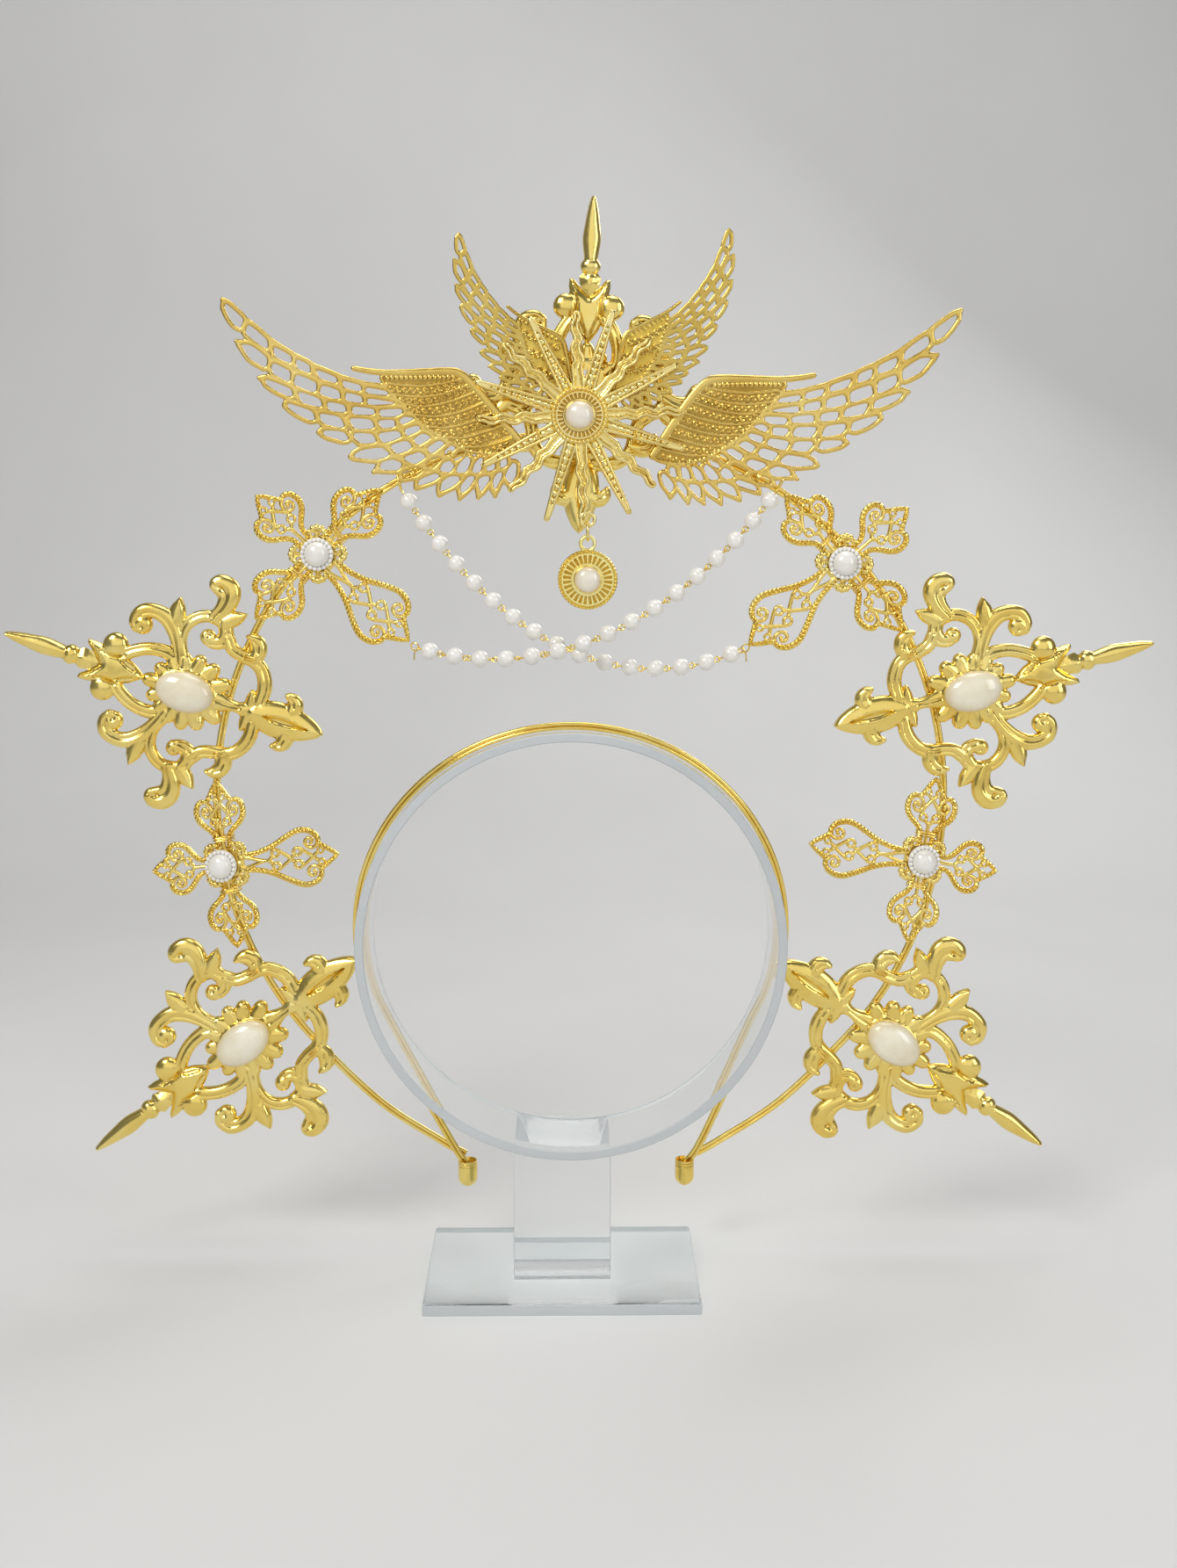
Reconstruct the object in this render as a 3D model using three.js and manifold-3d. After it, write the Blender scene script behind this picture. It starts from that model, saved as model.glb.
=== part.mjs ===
// Halo crown on an acrylic display stand. Millimetres, +Z up, the front faces -Y.
// The origin is the middle of the stand's underside.
import * as THREE from "three";
import { mergeVertices } from "three/addons/utils/BufferGeometryUtils.js";
import Module from "manifold-3d";

const wasm = await Module();
wasm.setup();

// ---------------------------------------------------------------- named sizes
const GAP = 0.3; // clearance between neighbouring pieces

// Display stand: a slice of clear tube on a block on a plate.
const BASE = { width: 90, depth: 60, thick: 4, x: -3 };
const POST = { width: 32, depth: 24, x: -3 };
const TUBE = { outer: 70, wall: 3, front: -19, back: 12, height: 116.9 };

// Wire frame: a double wire halo, and a double wire headband that shares its end caps.
const WIRE = { d: 1.35, pitch: 1.3 };
const HALO = { x: 3.5, z: 159.4, r: 125, y: 21, tail: 134 };
const HALO_TAIL = [
  // how far the two ends of the halo open out from the circle: degrees from the top, radius
  { deg: 147, r: 127.4 },
  { deg: 158, r: 130.0 },
  { deg: 162.2, r: 131.6 },
];
const BAND = { topY: -13, wrapDeg: 120, capY: 20.4 };
const CAP = { r: 3.3, height: 9.3, wall: 0.55, leftX: -36, rightX: 39.6, z: 27.4 };

// Layers of the ornaments: where each back face lies, and how thick the piece is.
const LAYER = {
  baroque: { back: 20.0, thick: 3.2 },
  cross: { back: 20.0, thick: 1.5 },
  smallWing: { back: 16.4, thick: 1.0 },
  largeWing: { back: 15.1, thick: 1.2 },
  sun: { back: 13.6, ray: 1.5, hub: 2.9 },
};

// Ornament places: x and z of the design's own origin, turn clockwise from upright in degrees.
const BAROQUES = [
  { name: "top", x: 4.9, z: 298.7, turn: 2.6, pearl: false },
  { name: "upper_left", x: -130.8, z: 196.6, turn: -72.0, pearl: true },
  { name: "upper_right", x: 137.1, z: 196.5, turn: 75.4, pearl: true },
  { name: "lower_left", x: -112.8, z: 75.3, turn: -126.4, pearl: true },
  { name: "lower_right", x: 111.5, z: 74.4, turn: 125.2, pearl: true },
];
const CROSSES = [
  { name: "upper_left", x: -85.8, z: 243.2, turn: -46, yaw: 0, lift: 0, scale: 1, pearl: [0, 0] },
  { name: "upper_right", x: 93.2, z: 240.1, turn: 49, yaw: 0, lift: 0, scale: 1, pearl: [0, 0] },
  { name: "middle_left", x: -117.9, z: 137.0, turn: -97, yaw: -10, lift: 1.2, scale: 0.94, pearl: [0, 1.2] },
  { name: "middle_right", x: 121.0, z: 137.8, turn: 99.4, yaw: 5, lift: 0.9, scale: 0.94, pearl: [0, 0] },
];
const WINGS = [
  { name: "large_wing_left", x: -64.6, z: 290.6, scale: 0.98, turn: 0, mirror: false, layer: LAYER.largeWing },
  { name: "large_wing_right", x: 79.0, z: 287.1, scale: 0.98, turn: 0, mirror: true, bend: true, layer: LAYER.largeWing },
  { name: "small_wing_left", x: -21.0, z: 316.0, scale: 0.582, turn: 28.3, mirror: false, layer: LAYER.smallWing },
  { name: "small_wing_right", x: 36.7, z: 317.6, scale: 0.582, turn: -28.3, mirror: true, layer: LAYER.smallWing },
];

// Sunburst: eight straight rays between eight wavy ones, a hub, and a loop under the lowest ray.
const SUN = { x: 3.0, z: 289.6, straight: 36, straightTurn: 27.2, wavy: 33.5, wavyTurn: 2.5, hubR: 9.4, seatR: 5.2 };
const SUN_LOOP = { x: 5.7, z: 255.0, r: 2.3, wire: 1.1 };
const SUN_PEARL = { r: 4.8, height: 4.2 };

// Drop: a jump ring and a round medallion with its own loop.
const JUMP = { r: 3.0, wire: 1.0 };
const MEDAL = { r: 10.1, thick: 2.6, loopR: 2.35, loopWire: 1.1, drop: 12.1 };
const MEDAL_PEARL = { r: 4.4, height: 3.6 };

// Cabochon pearls of the baroque plates and of the crosses.
const OVAL = { halfWidth: 6.9, halfLength: 10.0, height: 5.2 };
const ROUND = { r: 5.2, height: 4.6 };

// Bead strands: sixteen beads each, every one on an eye pin whose loops hook into the next.
const BEAD = { r: 3.0, count: 16, loopR: 0.9, loopWire: 0.22 };
const STRANDS = [
  // a strand's two ends, its length, and how far its middle lies behind (+) or before (-) the straight run
  { name: "strand_a", from: [-56.9, 16.6, 264.6], to: [58.7, 18.4, 210.6], length: 140.5, bow: 1.2 },
  { name: "strand_b", from: [69.9, 16.6, 264.7], to: [-52.1, 18.4, 211.2], length: 141.8, bow: -8.2 },
];

// ---------------------------------------------------------------- finishes
const finish = (color, roughness, metalness) => new THREE.MeshStandardMaterial({ color, roughness, metalness });
const YELLOW_GOLD = finish(0xdcb13a, 0.25, 1);
const PALE_GOLD = finish(0xdcc07a, 0.3, 1);
const WARM_GOLD = finish(0xd9a648, 0.3, 1);
const PEARL = finish(0xf1ece1, 0.3, 0);
const ACRYLIC = new THREE.MeshStandardMaterial({ color: 0xdfe4e4, roughness: 0.08, metalness: 0, transparent: true, opacity: 0.35 });

// ---------------------------------------------------------------- solids
const rad = THREE.MathUtils.degToRad;

// A closed geometry as a solid, after the move given by a matrix.
function solid(geometry, matrix) {
  const g = geometry.clone();
  if (matrix) g.applyMatrix4(matrix);
  for (const key of Object.keys(g.attributes)) if (key !== "position") g.deleteAttribute(key);
  const m = mergeVertices(g, 1e-4);
  return new wasm.Manifold(
    new wasm.Mesh({ numProp: 3, vertProperties: m.attributes.position.array, triVerts: new Uint32Array(m.index.array) }),
  );
}

// A solid as a geometry.
function shapeOf(made) {
  const m = made.getMesh(),
    v = new Float32Array(m.numVert * 3);
  for (let i = 0; i < m.numVert; i++) v.set(m.vertProperties.subarray(i * m.numProp, i * m.numProp + 3), i * 3);
  const g = new THREE.BufferGeometry();
  g.setAttribute("position", new THREE.BufferAttribute(v, 3));
  g.setIndex(new THREE.BufferAttribute(m.triVerts, 1));
  return g;
}
const join = (list) => list.reduce((a, b) => a.add(b));
const move = (x, y, z) => new THREE.Matrix4().makeTranslation(x, y, z);

// Flat outlines are lists of [u, v] points.
const counterClockwise = (outline) =>
  THREE.ShapeUtils.area(outline.map(([x, y]) => ({ x, y }))) < 0 ? outline.slice().reverse() : outline;
const flat = (outline) => new wasm.CrossSection([counterClockwise(outline)], "Positive");

// Drops the points of a closed outline that lie within a small distance of their neighbours' line.
function thinned(outline, within) {
  const kept = outline.slice();
  const off = (i) => {
    const [a, p, b] = [-1, 0, 1].map((k) => kept[(i + k + kept.length) % kept.length]);
    const dx = b[0] - a[0],
      dy = b[1] - a[1];
    return Math.abs((p[0] - a[0]) * dy - (p[1] - a[1]) * dx) / (Math.hypot(dx, dy) || 1e-9);
  };
  while (kept.length > 3) {
    let best = 0;
    for (let i = 1; i < kept.length; i++) if (off(i) < off(best)) best = i;
    if (off(best) > within) break;
    kept.splice(best, 1);
  }
  return kept;
}

// A plate from joined outlines less the cut ones, from z = 0 to z = thick.
function plate(outlines, cuts, thick, within = 0.1) {
  let area = outlines.map(flat).reduce((a, b) => a.add(b));
  for (const c of cuts) area = area.subtract(flat(c));
  const rings = area.toPolygons().map((ring) => thinned(ring.map(([u, v]) => [u, v]), within));
  const signed = (ring) => THREE.ShapeUtils.area(ring.map(([x, y]) => ({ x, y })));
  // turned off the axes of symmetry while it is cut into triangles, and turned back after
  const vectors = (ring) => ring.map(([u, v]) => new THREE.Vector2(u, v).rotateAround(new THREE.Vector2(), 0.37));
  rings.sort((a, b) => signed(b) - signed(a));
  const shape = new THREE.Shape(vectors(rings[0]));
  for (const ring of rings.slice(1)) if (signed(ring) < -0.4) shape.holes.push(new THREE.Path(vectors(ring)));
  return solid(new THREE.ExtrudeGeometry(shape, { depth: thick, bevelEnabled: false }).rotateZ(-0.37));
}

// The outline of a ribbon of changing half width along rows of {u, v, half}.
function ribbon(rows, steps) {
  const curve = new THREE.CatmullRomCurve3(rows.map((r) => new THREE.Vector3(r.u, r.v, r.half)), false, "centripetal");
  const left = [],
    right = [];
  for (let i = 0; i <= steps; i++) {
    const p = curve.getPoint(i / steps),
      t = curve.getTangent(i / steps);
    const n = new THREE.Vector2(-t.y, t.x).normalize();
    left.push([p.x + n.x * p.z, p.y + n.y * p.z]);
    right.push([p.x - n.x * p.z, p.y - n.y * p.z]);
  }
  return [...left, ...right.reverse()];
}
function disc(u, v, r, sides) {
  const outline = [];
  for (let i = 0; i < sides; i++) {
    const a = ((i + 0.5) / sides) * 2 * Math.PI;
    outline.push([u + r * Math.cos(a), v + r * Math.sin(a)]);
  }
  return outline;
}
const mirrored = (outline) => [...outline, ...outline.slice().reverse().filter(([u]) => u > 1e-6).map(([u, v]) => [-u, v])];

// A cabochon: a flat back and a domed front, rising along +z.
function dome(r, height, sides, rings) {
  const profile = [new THREE.Vector2(0, 0), new THREE.Vector2(r * 0.9, 0)];
  for (let i = 0; i <= rings; i++) {
    const a = (i / rings) * (Math.PI / 2);
    profile.push(new THREE.Vector2(i === rings ? 0 : r * Math.cos(a), 0.9 + (height - 0.9) * Math.sin(a)));
  }
  const g = new THREE.LatheGeometry(profile, sides);
  g.rotateX(Math.PI / 2);
  return g;
}

// ---------------------------------------------------------------- scene
const crown = new THREE.Group();
function add(name, geometry, material, parent = crown) {
  const mesh = new THREE.Mesh(geometry, material);
  mesh.name = name;
  parent.add(mesh);
  return mesh;
}
// A group whose own x and y are the front view's right and up, and whose z points to the front.
function facing(x, y, z, turnDeg, yawDeg = 0) {
  const post = new THREE.Group();
  post.position.set(x, y, z);
  post.rotation.z = rad(yawDeg);
  const face = new THREE.Group();
  face.rotation.set(Math.PI / 2, 0, -rad(turnDeg));
  post.add(face);
  crown.add(post);
  return face;
}

// ---------------------------------------------------------------- display stand
{
  const { outer, wall, front, back, height } = TUBE;
  const inner = outer - wall;
  const ring = new THREE.LatheGeometry(
    [
      [inner, front],
      [outer, front],
      [outer, back],
      [inner, back],
      [inner, front],
    ].map(([r, y]) => new THREE.Vector2(r, y)),
    48,
  );
  const bore = new THREE.CylinderGeometry(inner, inner, 80, 48);
  const blockTop = height - inner + 1;
  const block = new THREE.BoxGeometry(POST.width, POST.depth, blockTop - BASE.thick + 1);
  const foot = new THREE.BoxGeometry(BASE.width, BASE.depth, BASE.thick);
  const stand = solid(block, move(POST.x, 0, (blockTop + BASE.thick - 1) / 2))
    .add(solid(ring, move(0, 0, height)))
    .subtract(solid(bore, move(0, 0, height)))
    .add(solid(foot, move(BASE.x, 0, BASE.thick / 2)));
  add("display_stand", shapeOf(stand), ACRYLIC);
}

// ---------------------------------------------------------------- wire frame
{
  // Two round wires side by side: the section is longest across the wires.
  const w = WIRE.d / 2,
    s = WIRE.pitch / 2;
  const pair = new THREE.Shape(
    [
      [0, s + w],
      [-w, s],
      [-w * 0.55, 0],
      [-w, -s],
      [0, -s - w],
      [w, -s],
      [w * 0.55, 0],
      [w, s],
    ].map(([a, b]) => new THREE.Vector2(a, b)),
  );
  const sweep = (points, steps) =>
    solid(
      new THREE.ExtrudeGeometry(pair, {
        steps,
        bevelEnabled: false,
        extrudePath: new THREE.CatmullRomCurve3(points, false, "centripetal"),
      }),
    );

  const haloAt = (deg, r) =>
    new THREE.Vector3(HALO.x + r * Math.sin(rad(deg)), HALO.y, HALO.z + r * Math.cos(rad(deg)));
  const haloPoints = [];
  for (const t of HALO_TAIL.slice().reverse()) haloPoints.push(haloAt(-t.deg, t.r));
  for (let d = -HALO.tail; d <= HALO.tail; d += HALO.tail / 16) haloPoints.push(haloAt(d, HALO.r));
  for (const t of HALO_TAIL) haloPoints.push(haloAt(t.deg, t.r));
  const halo = sweep(haloPoints, 48);

  // The headband lies over the tube, hugs its sides, and runs straight down to the caps.
  const wrapR = TUBE.outer + GAP + WIRE.d / 2 + WIRE.pitch / 2;
  const topZ = TUBE.height + wrapR,
    capZ = CAP.z + 3;
  const bandY = (z) => BAND.topY + ((BAND.capY - BAND.topY) * (topZ - z)) / (topZ - capZ);
  const bandPoints = [];
  const bandAt = (x, z) => bandPoints.push(new THREE.Vector3(x, bandY(z), z));
  bandAt(CAP.leftX - 0.6, capZ);
  bandAt(CAP.leftX - 6.5, capZ + 11);
  for (let d = -BAND.wrapDeg; d <= BAND.wrapDeg; d += BAND.wrapDeg / 9)
    bandAt(wrapR * Math.sin(rad(d)), TUBE.height + wrapR * Math.cos(rad(d)));
  bandAt(CAP.rightX + 6.5, capZ + 11);
  bandAt(CAP.rightX + 0.6, capZ);
  const band = sweep(bandPoints, 36);

  // End caps: small cups that hold both wires, open at the top, with a blunt point below.
  const { r, height: h, wall: t } = CAP;
  const cup = new THREE.LatheGeometry(
    [
      [0, -h / 2],
      [r * 0.55, -h / 2 + 0.7],
      [r, -h / 2 + 2.2],
      [r, h / 2],
      [r - t, h / 2],
      [r - t, -h / 2 + 2.6],
      [0, -h / 2 + 1.4],
    ].map(([a, b]) => new THREE.Vector2(a, b)),
    12,
  );
  cup.rotateX(Math.PI / 2);
  const frame = join([
    halo,
    band,
    solid(cup, move(CAP.leftX, BAND.capY + 0.3, CAP.z)),
    solid(cup, move(CAP.rightX, BAND.capY + 0.3, CAP.z)),
  ]);
  add("wire_frame", shapeOf(frame), YELLOW_GOLD);
}

// ---------------------------------------------------------------- baroque plates
// The stamped plate is the same on both sides of its axis. The spike points along +v.
const SPIKE = [
  // half outline of the spike and its collar
  [0, 64.5],
  [1.7, 58],
  [3.1, 50],
  [1.9, 45],
  [3.2, 42],
  [2.3, 39],
];
const CROWN_LEAF = [
  [0, 40],
  [2.4, 39],
  [6.0, 37.6],
  [5.6, 34.8],
  [8.2, 32.8],
  [11.6, 30],
  [11.4, 26.6],
  [7.8, 24.4],
  [4.2, 23.6],
  [0, 17.5],
];
const ROSETTE = [
  [0, 15],
  [3, 11.4],
  [6.8, 11],
  [8.2, 6],
  [11.8, -0.5],
  [9.2, -3.4],
  [9.8, -7.2],
  [6.4, -9],
  [6.4, -13.4],
  [2.2, -11.4],
  [2.2, -18.5],
];
const ARROW_LEAF = [
  [0, -17],
  [4.8, -20.3],
  [4.2, -24],
  [6.6, -27.5],
  [6.6, -31],
  [9.3, -31.9],
  [10.4, -34.5],
  [9, -38.8],
  [5.6, -39.8],
  [4.4, -43],
  [0, -48.4],
];
const row = (u, v, half) => ({ u, v, half });
const SCROLLS = [
  // scrolls of the right half: rows of a centre line and its half width, and the steps along it
  { part: "lens_arc", steps: 6, rows: [row(4.5, 25, 2.0), row(8.8, 19.5, 2.3), row(11.2, 13.5, 2.3), row(11.3, 8.5, 2.2), row(8.0, 4.2, 2.2)] },
  { part: "upper_scroll", steps: 9, rows: [row(9.5, 5.4, 1.8), row(15, 7, 2.1), row(19.5, 9.5, 2.4), row(22.6, 14, 2.6), row(23.3, 19, 2.6), row(21.5, 23, 2.7), row(17.2, 23.6, 2.5)] },
  { part: "bud", steps: 2, rows: [row(22, 11.4, 2.2), row(27, 11, 1.8), row(30.3, 10.8, 0.3)] },
  { part: "lower_arc", steps: 8, rows: [row(11, 4.4, 1.6), row(17.5, 6.6, 2.0), row(23, 5.8, 2.2), row(26.3, 2, 2.3), row(26.8, -2.5, 2.3), row(26, -7, 2.4)] },
  { part: "inner_curl", steps: 5, rows: [row(26.5, -6.4, 2.4), row(22.5, -8.2, 2.4), row(19, -7, 2.2), row(18, -2.5, 1.9)] },
  { part: "outer_curl", steps: 6, rows: [row(26.5, -2, 2.0), row(32, -4.6, 3.2), row(37, -4.4, 3.8), row(39.6, -1, 3.0), row(38.2, 2.2, 1.2)] },
  { part: "lower_leaf", steps: 2, rows: [row(26, -6.5, 2.2), row(29.5, -9.2, 2.2), row(31.6, -12, 0.4)] },
  { part: "connector", steps: 8, rows: [row(22, -8.6, 2.2), row(18.4, -11.5, 2.2), row(17.2, -16, 2.2), row(16, -20.5, 2.3), row(12, -24, 2.2), row(7, -25.8, 2.0), row(3, -25, 2)] },
  { part: "hook", steps: 4, rows: [row(16.6, -19, 2.5), row(21.5, -19.8, 2.8), row(24.3, -17.8, 2.2), row(25.2, -14.6, 0.6)] },
];
const CURL_BALLS = [
  { u: 17.2, v: 20.7, r: 3.4 },
  { u: 19.2, v: -1.0, r: 2.6 },
];
function baroquePlate() {
  const parts = [SPIKE, CROWN_LEAF, ROSETTE, ARROW_LEAF].map(mirrored);
  for (const side of [1, -1]) {
    for (const s of SCROLLS) parts.push(ribbon(s.rows.map((p) => row(p.u * side, p.v, p.half)), s.steps));
    for (const b of CURL_BALLS) parts.push(disc(b.u * side, b.v, b.r, 8));
  }
  return shapeOf(plate(parts, [], LAYER.baroque.thick, 0.4));
}
const BAROQUE = baroquePlate();
const OVAL_PEARL = dome(1, OVAL.height, 14, 4).scale(OVAL.halfWidth, OVAL.halfLength, 1);
for (const b of BAROQUES) {
  const place = facing(b.x, LAYER.baroque.back, b.z, b.turn);
  add("baroque_plate_" + b.name, BAROQUE, YELLOW_GOLD, place);
  if (b.pearl) add("oval_pearl_" + b.name, OVAL_PEARL, PEARL, place).position.z = LAYER.baroque.thick + GAP;
}

// ---------------------------------------------------------------- filigree crosses
const SHORT_ARM = [
  // half outline of a short arm: half width, distance from the middle
  [4.2, 4.2],
  [3.2, 8],
  [5.8, 11.6],
  [9.0, 14.4],
  [9.8, 18.5],
  [8.6, 22.2],
  [4.6, 24.2],
  [3.0, 26],
  [0, 29.6],
];
const LONG_ARM = [
  [4.2, 4.2],
  [3.6, 8],
  [6.0, 19.5],
  [10.2, 26],
  [11.2, 30.5],
  [10.2, 35],
  [5.6, 38],
  [3.2, 40],
  [0, 43.5],
];
const LOBE_HOLE = { u: 5.6, v: 18.4, r: 2.7 };
const STEM_HOLE = [
  [1.2, 8.5],
  [2.2, 8.5],
  [3.0, 11.4],
  [1.2, 11.4],
];
const LONG_HOLE = [
  [1.2, 13],
  [3.0, 12],
  [4.8, 19.5],
  [8.6, 27],
  [9.4, 31],
  [6.4, 31],
  [2.6, 25],
  [2.8, 19.5],
];
function filigreeCross() {
  const parts = [disc(0, 0, 7.6, 16)], // the scalloped rim round the pearl
    cuts = [];
  [SHORT_ARM, SHORT_ARM, LONG_ARM, SHORT_ARM].forEach((arm, k) => {
    const c = Math.cos((k * Math.PI) / 2),
      s = Math.sin((k * Math.PI) / 2);
    const turned = (points) => points.map(([u, v]) => [u * c + v * s, v * c - u * s]);
    parts.push(turned([[-4.2, 0], ...arm.map(([u, v]) => [-u, v]), ...arm.slice(0, -1).reverse(), [4.2, 0]]));
    for (const side of [1, -1]) {
      const holes = arm === LONG_ARM ? [LONG_HOLE] : [disc(LOBE_HOLE.u, LOBE_HOLE.v, LOBE_HOLE.r, 6), STEM_HOLE];
      for (const hole of holes) cuts.push(turned(hole.map(([u, v]) => [u * side, v])));
    }
  });
  return shapeOf(plate(parts, cuts, LAYER.cross.thick, 0.16));
}
const CROSS = filigreeCross();
const ROUND_PEARL = dome(ROUND.r, ROUND.height, 12, 4);
for (const c of CROSSES) {
  const place = facing(c.x, LAYER.cross.back - c.lift, c.z, c.turn, c.yaw);
  add("filigree_cross_" + c.name, CROSS, YELLOW_GOLD, place).scale.set(c.scale, c.scale, 1);
  add("round_pearl_" + c.name, ROUND_PEARL, PEARL, place).position.set(...c.pearl, LAYER.cross.thick + GAP);
}

// ---------------------------------------------------------------- wings
// A left wing. Quills run from the feather tips (first point) to the coverts (last point).
const LEADING_EDGE = [
  [-54, 39.6],
  [-44, 32],
  [-36, 25.5],
  [-28, 20.4],
  [-12, 12.6],
  [1, 10.8],
];
const SHOULDER_BAR = [row(-8, 15, 0.9), row(3, 13, 1.0), row(25, 14, 1.1), row(30, 12, 1.1), row(40, 0.6, 1.1), row(50, -11, 1.0)];
const COVERT = [
  [1, 12],
  [3, 8],
  [10, 1],
  [20, -8],
  [34, -14.4],
  [46, -13],
  [49.4, -11],
  [40, 0.6],
  [30, 12.4],
  [25, 14],
];
const FEATHERS = [
  // a feather's tip and the notch after it
  { tip: [-54.3, 39.4], notch: [-47.4, 27.4] },
  { tip: [-48.3, 24.4], notch: [-38.6, 13.4] },
  { tip: [-41, 11.5], notch: [-30.4, 4.2] },
  { tip: [-32, 2], notch: [-20.2, -4.6] },
  { tip: [-21, -7], notch: [-8.4, -11.8] },
  { tip: [-10, -15], notch: [-1, -17] },
  { tip: [-2.5, -21], notch: [7, -20.6] },
  { tip: [8, -25], notch: [17, -24] },
  { tip: [20.5, -29], notch: [23.6, -26.4] },
  { tip: [27.5, -30.5], notch: [30.2, -27] },
  { tip: [33.5, -30], notch: [36.4, -26.6] },
  { tip: [40, -29.5], notch: [42.6, -25] },
  { tip: [46, -26.5], notch: [48, -19] },
];
const QUILLS = [
  // one quill between two feathers: its start near the notch, its middle, and its root in the coverts
  { notch: [-52, 37], mid: [-28, 19.6], root: [1, 9.6] },
  { notch: [-46.5, 27], mid: [-24.5, 13.6], root: [4, 6.8] },
  { notch: [-37.5, 13.4], mid: [-15, 5.2], root: [8, 2.2] },
  { notch: [-29.5, 4.2], mid: [-8, -1.3], root: [13, -1.4] },
  { notch: [-19.5, -4.6], mid: [-1, -6.0], root: [16, -3.8] },
  { notch: [-7.6, -11.4], mid: [5.5, -9.6], root: [18, -6.2] },
  { notch: [-0.4, -16.4], mid: [11, -12.8], root: [21.5, -9] },
  { notch: [7.4, -19.8], mid: [16, -15.8], root: [23.5, -11] },
  { notch: [17.2, -23], mid: [22, -18.6], root: [27, -13] },
  { notch: [23.7, -25.4], mid: [26.2, -20.0], root: [30.5, -14] },
  { notch: [30.3, -26], mid: [31.6, -20.5], root: [34, -14.8] },
  { notch: [36.5, -25.6], mid: [36.8, -20], root: [38, -15] },
  { notch: [42.6, -24], mid: [42, -19], root: [42, -14.8] },
  { notch: [47.6, -18.6], mid: [46.8, -16], root: [46, -13.4] },
];
const RIB = 0.8; // half width of a quill
// The large right wing is bent a little by hand: the shift of a point at (u, v) of the mirrored wing.
const BEND = { reach: 50, u: [-5.8, -0.6, -1.1, 0.5, 4.2, 6.5], v: [1.0, -0.9, 0.6, -2.7, 0.7, 3.6] };
function bent([u, v]) {
  const a = u / BEND.reach,
    b = v / BEND.reach;
  const terms = [1, a, b, a * a, a * b, b * b];
  const shift = (k) => terms.reduce((sum, t, i) => sum + t * k[i], 0);
  return [u + shift(BEND.u), v + shift(BEND.v)];
}
function wingPlate({ layer, scale, mirror, bend }) {
  const outline = [...LEADING_EDGE.slice().reverse()];
  for (const f of FEATHERS) outline.push(f.tip, f.notch);
  outline.push([49.4, -11], [30, -2], [8, 4]);
  const slots = [];
  for (let i = 0; i + 1 < QUILLS.length; i++) {
    const upper = [],
      lower = [];
    for (const k of ["notch", "mid", "root"]) {
      const p = new THREE.Vector2(...QUILLS[i][k]),
        q = new THREE.Vector2(...QUILLS[i + 1][k]);
      const inset = Math.min(0.42, RIB / p.distanceTo(q) + 0.06);
      upper.push(p.clone().lerp(q, inset));
      lower.push(q.clone().lerp(p, inset));
    }
    const tip = new THREE.Vector2(...FEATHERS[i].tip).lerp(upper[0].clone().add(lower[0]).multiplyScalar(0.5), 0.22);
    for (const l of [upper, lower]) l[2].lerp(l[1], 0.06);
    slots.push([tip, ...upper, ...lower.reverse()].map((p) => [p.x, p.y]));
  }
  const put = (points) =>
    points.map(([u, v]) => (mirror ? [-u, v] : [u, v])).map((p) => (bend ? bent(p) : p)).map(([u, v]) => [u * scale, v * scale]);
  return shapeOf(plate([outline, COVERT, ribbon(SHOULDER_BAR, 6)].map(put), slots.map(put), layer.thick, 0.14));
}
for (const w of WINGS)
  add(w.name, wingPlate(w), w.layer === LAYER.largeWing ? WARM_GOLD : YELLOW_GOLD, facing(w.x, w.layer.back, w.z, w.turn));

// ---------------------------------------------------------------- sunburst
const SUN_PLACE = facing(SUN.x, LAYER.sun.back, SUN.z, 0);
{
  const t = LAYER.sun.ray;
  const turned = (points, deg) => {
    const c = Math.cos(rad(deg)),
      s = Math.sin(rad(deg));
    return points.map(([a, b]) => [a * c - b * s, a * s + b * c]);
  };
  const rays = [];
  const L = SUN.straight,
    W = SUN.wavy;
  const straight = [[4, -2.4], [L, -0.7], [L, 0.7], [4, 2.4]];
  const wavy = [[4, -1.9], [W * 0.45, -2.2], [W * 0.7, -0.6], [W, -0.7], [W, 0.6], [W * 0.7, 1.6], [W * 0.45, 0.4], [4, 1.9]];
  for (let k = 0; k < 8; k++) rays.push(turned(straight, SUN.straightTurn + 45 * k), turned(wavy, SUN.wavyTurn + 45 * k));
  const hub = new THREE.CylinderGeometry(SUN.hubR, SUN.hubR, LAYER.sun.hub, 20).rotateX(Math.PI / 2);
  const parts = [plate(rays, [], t), solid(hub, move(0, 0, LAYER.sun.hub / 2))];
  // the loop under the lowest ray, whose hole runs front to back
  const loop = new THREE.TorusGeometry(SUN_LOOP.r, SUN_LOOP.wire / 2, 6, 14);
  parts.push(solid(loop, move(SUN_LOOP.x - SUN.x, SUN_LOOP.z - SUN.z, t / 2)));
  add("sunburst", shapeOf(join(parts)), PALE_GOLD, SUN_PLACE);
  add("sunburst_pearl", dome(SUN_PEARL.r, SUN_PEARL.height, 14, 4), PEARL, SUN_PLACE).position.z = LAYER.sun.hub + GAP;
}

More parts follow.
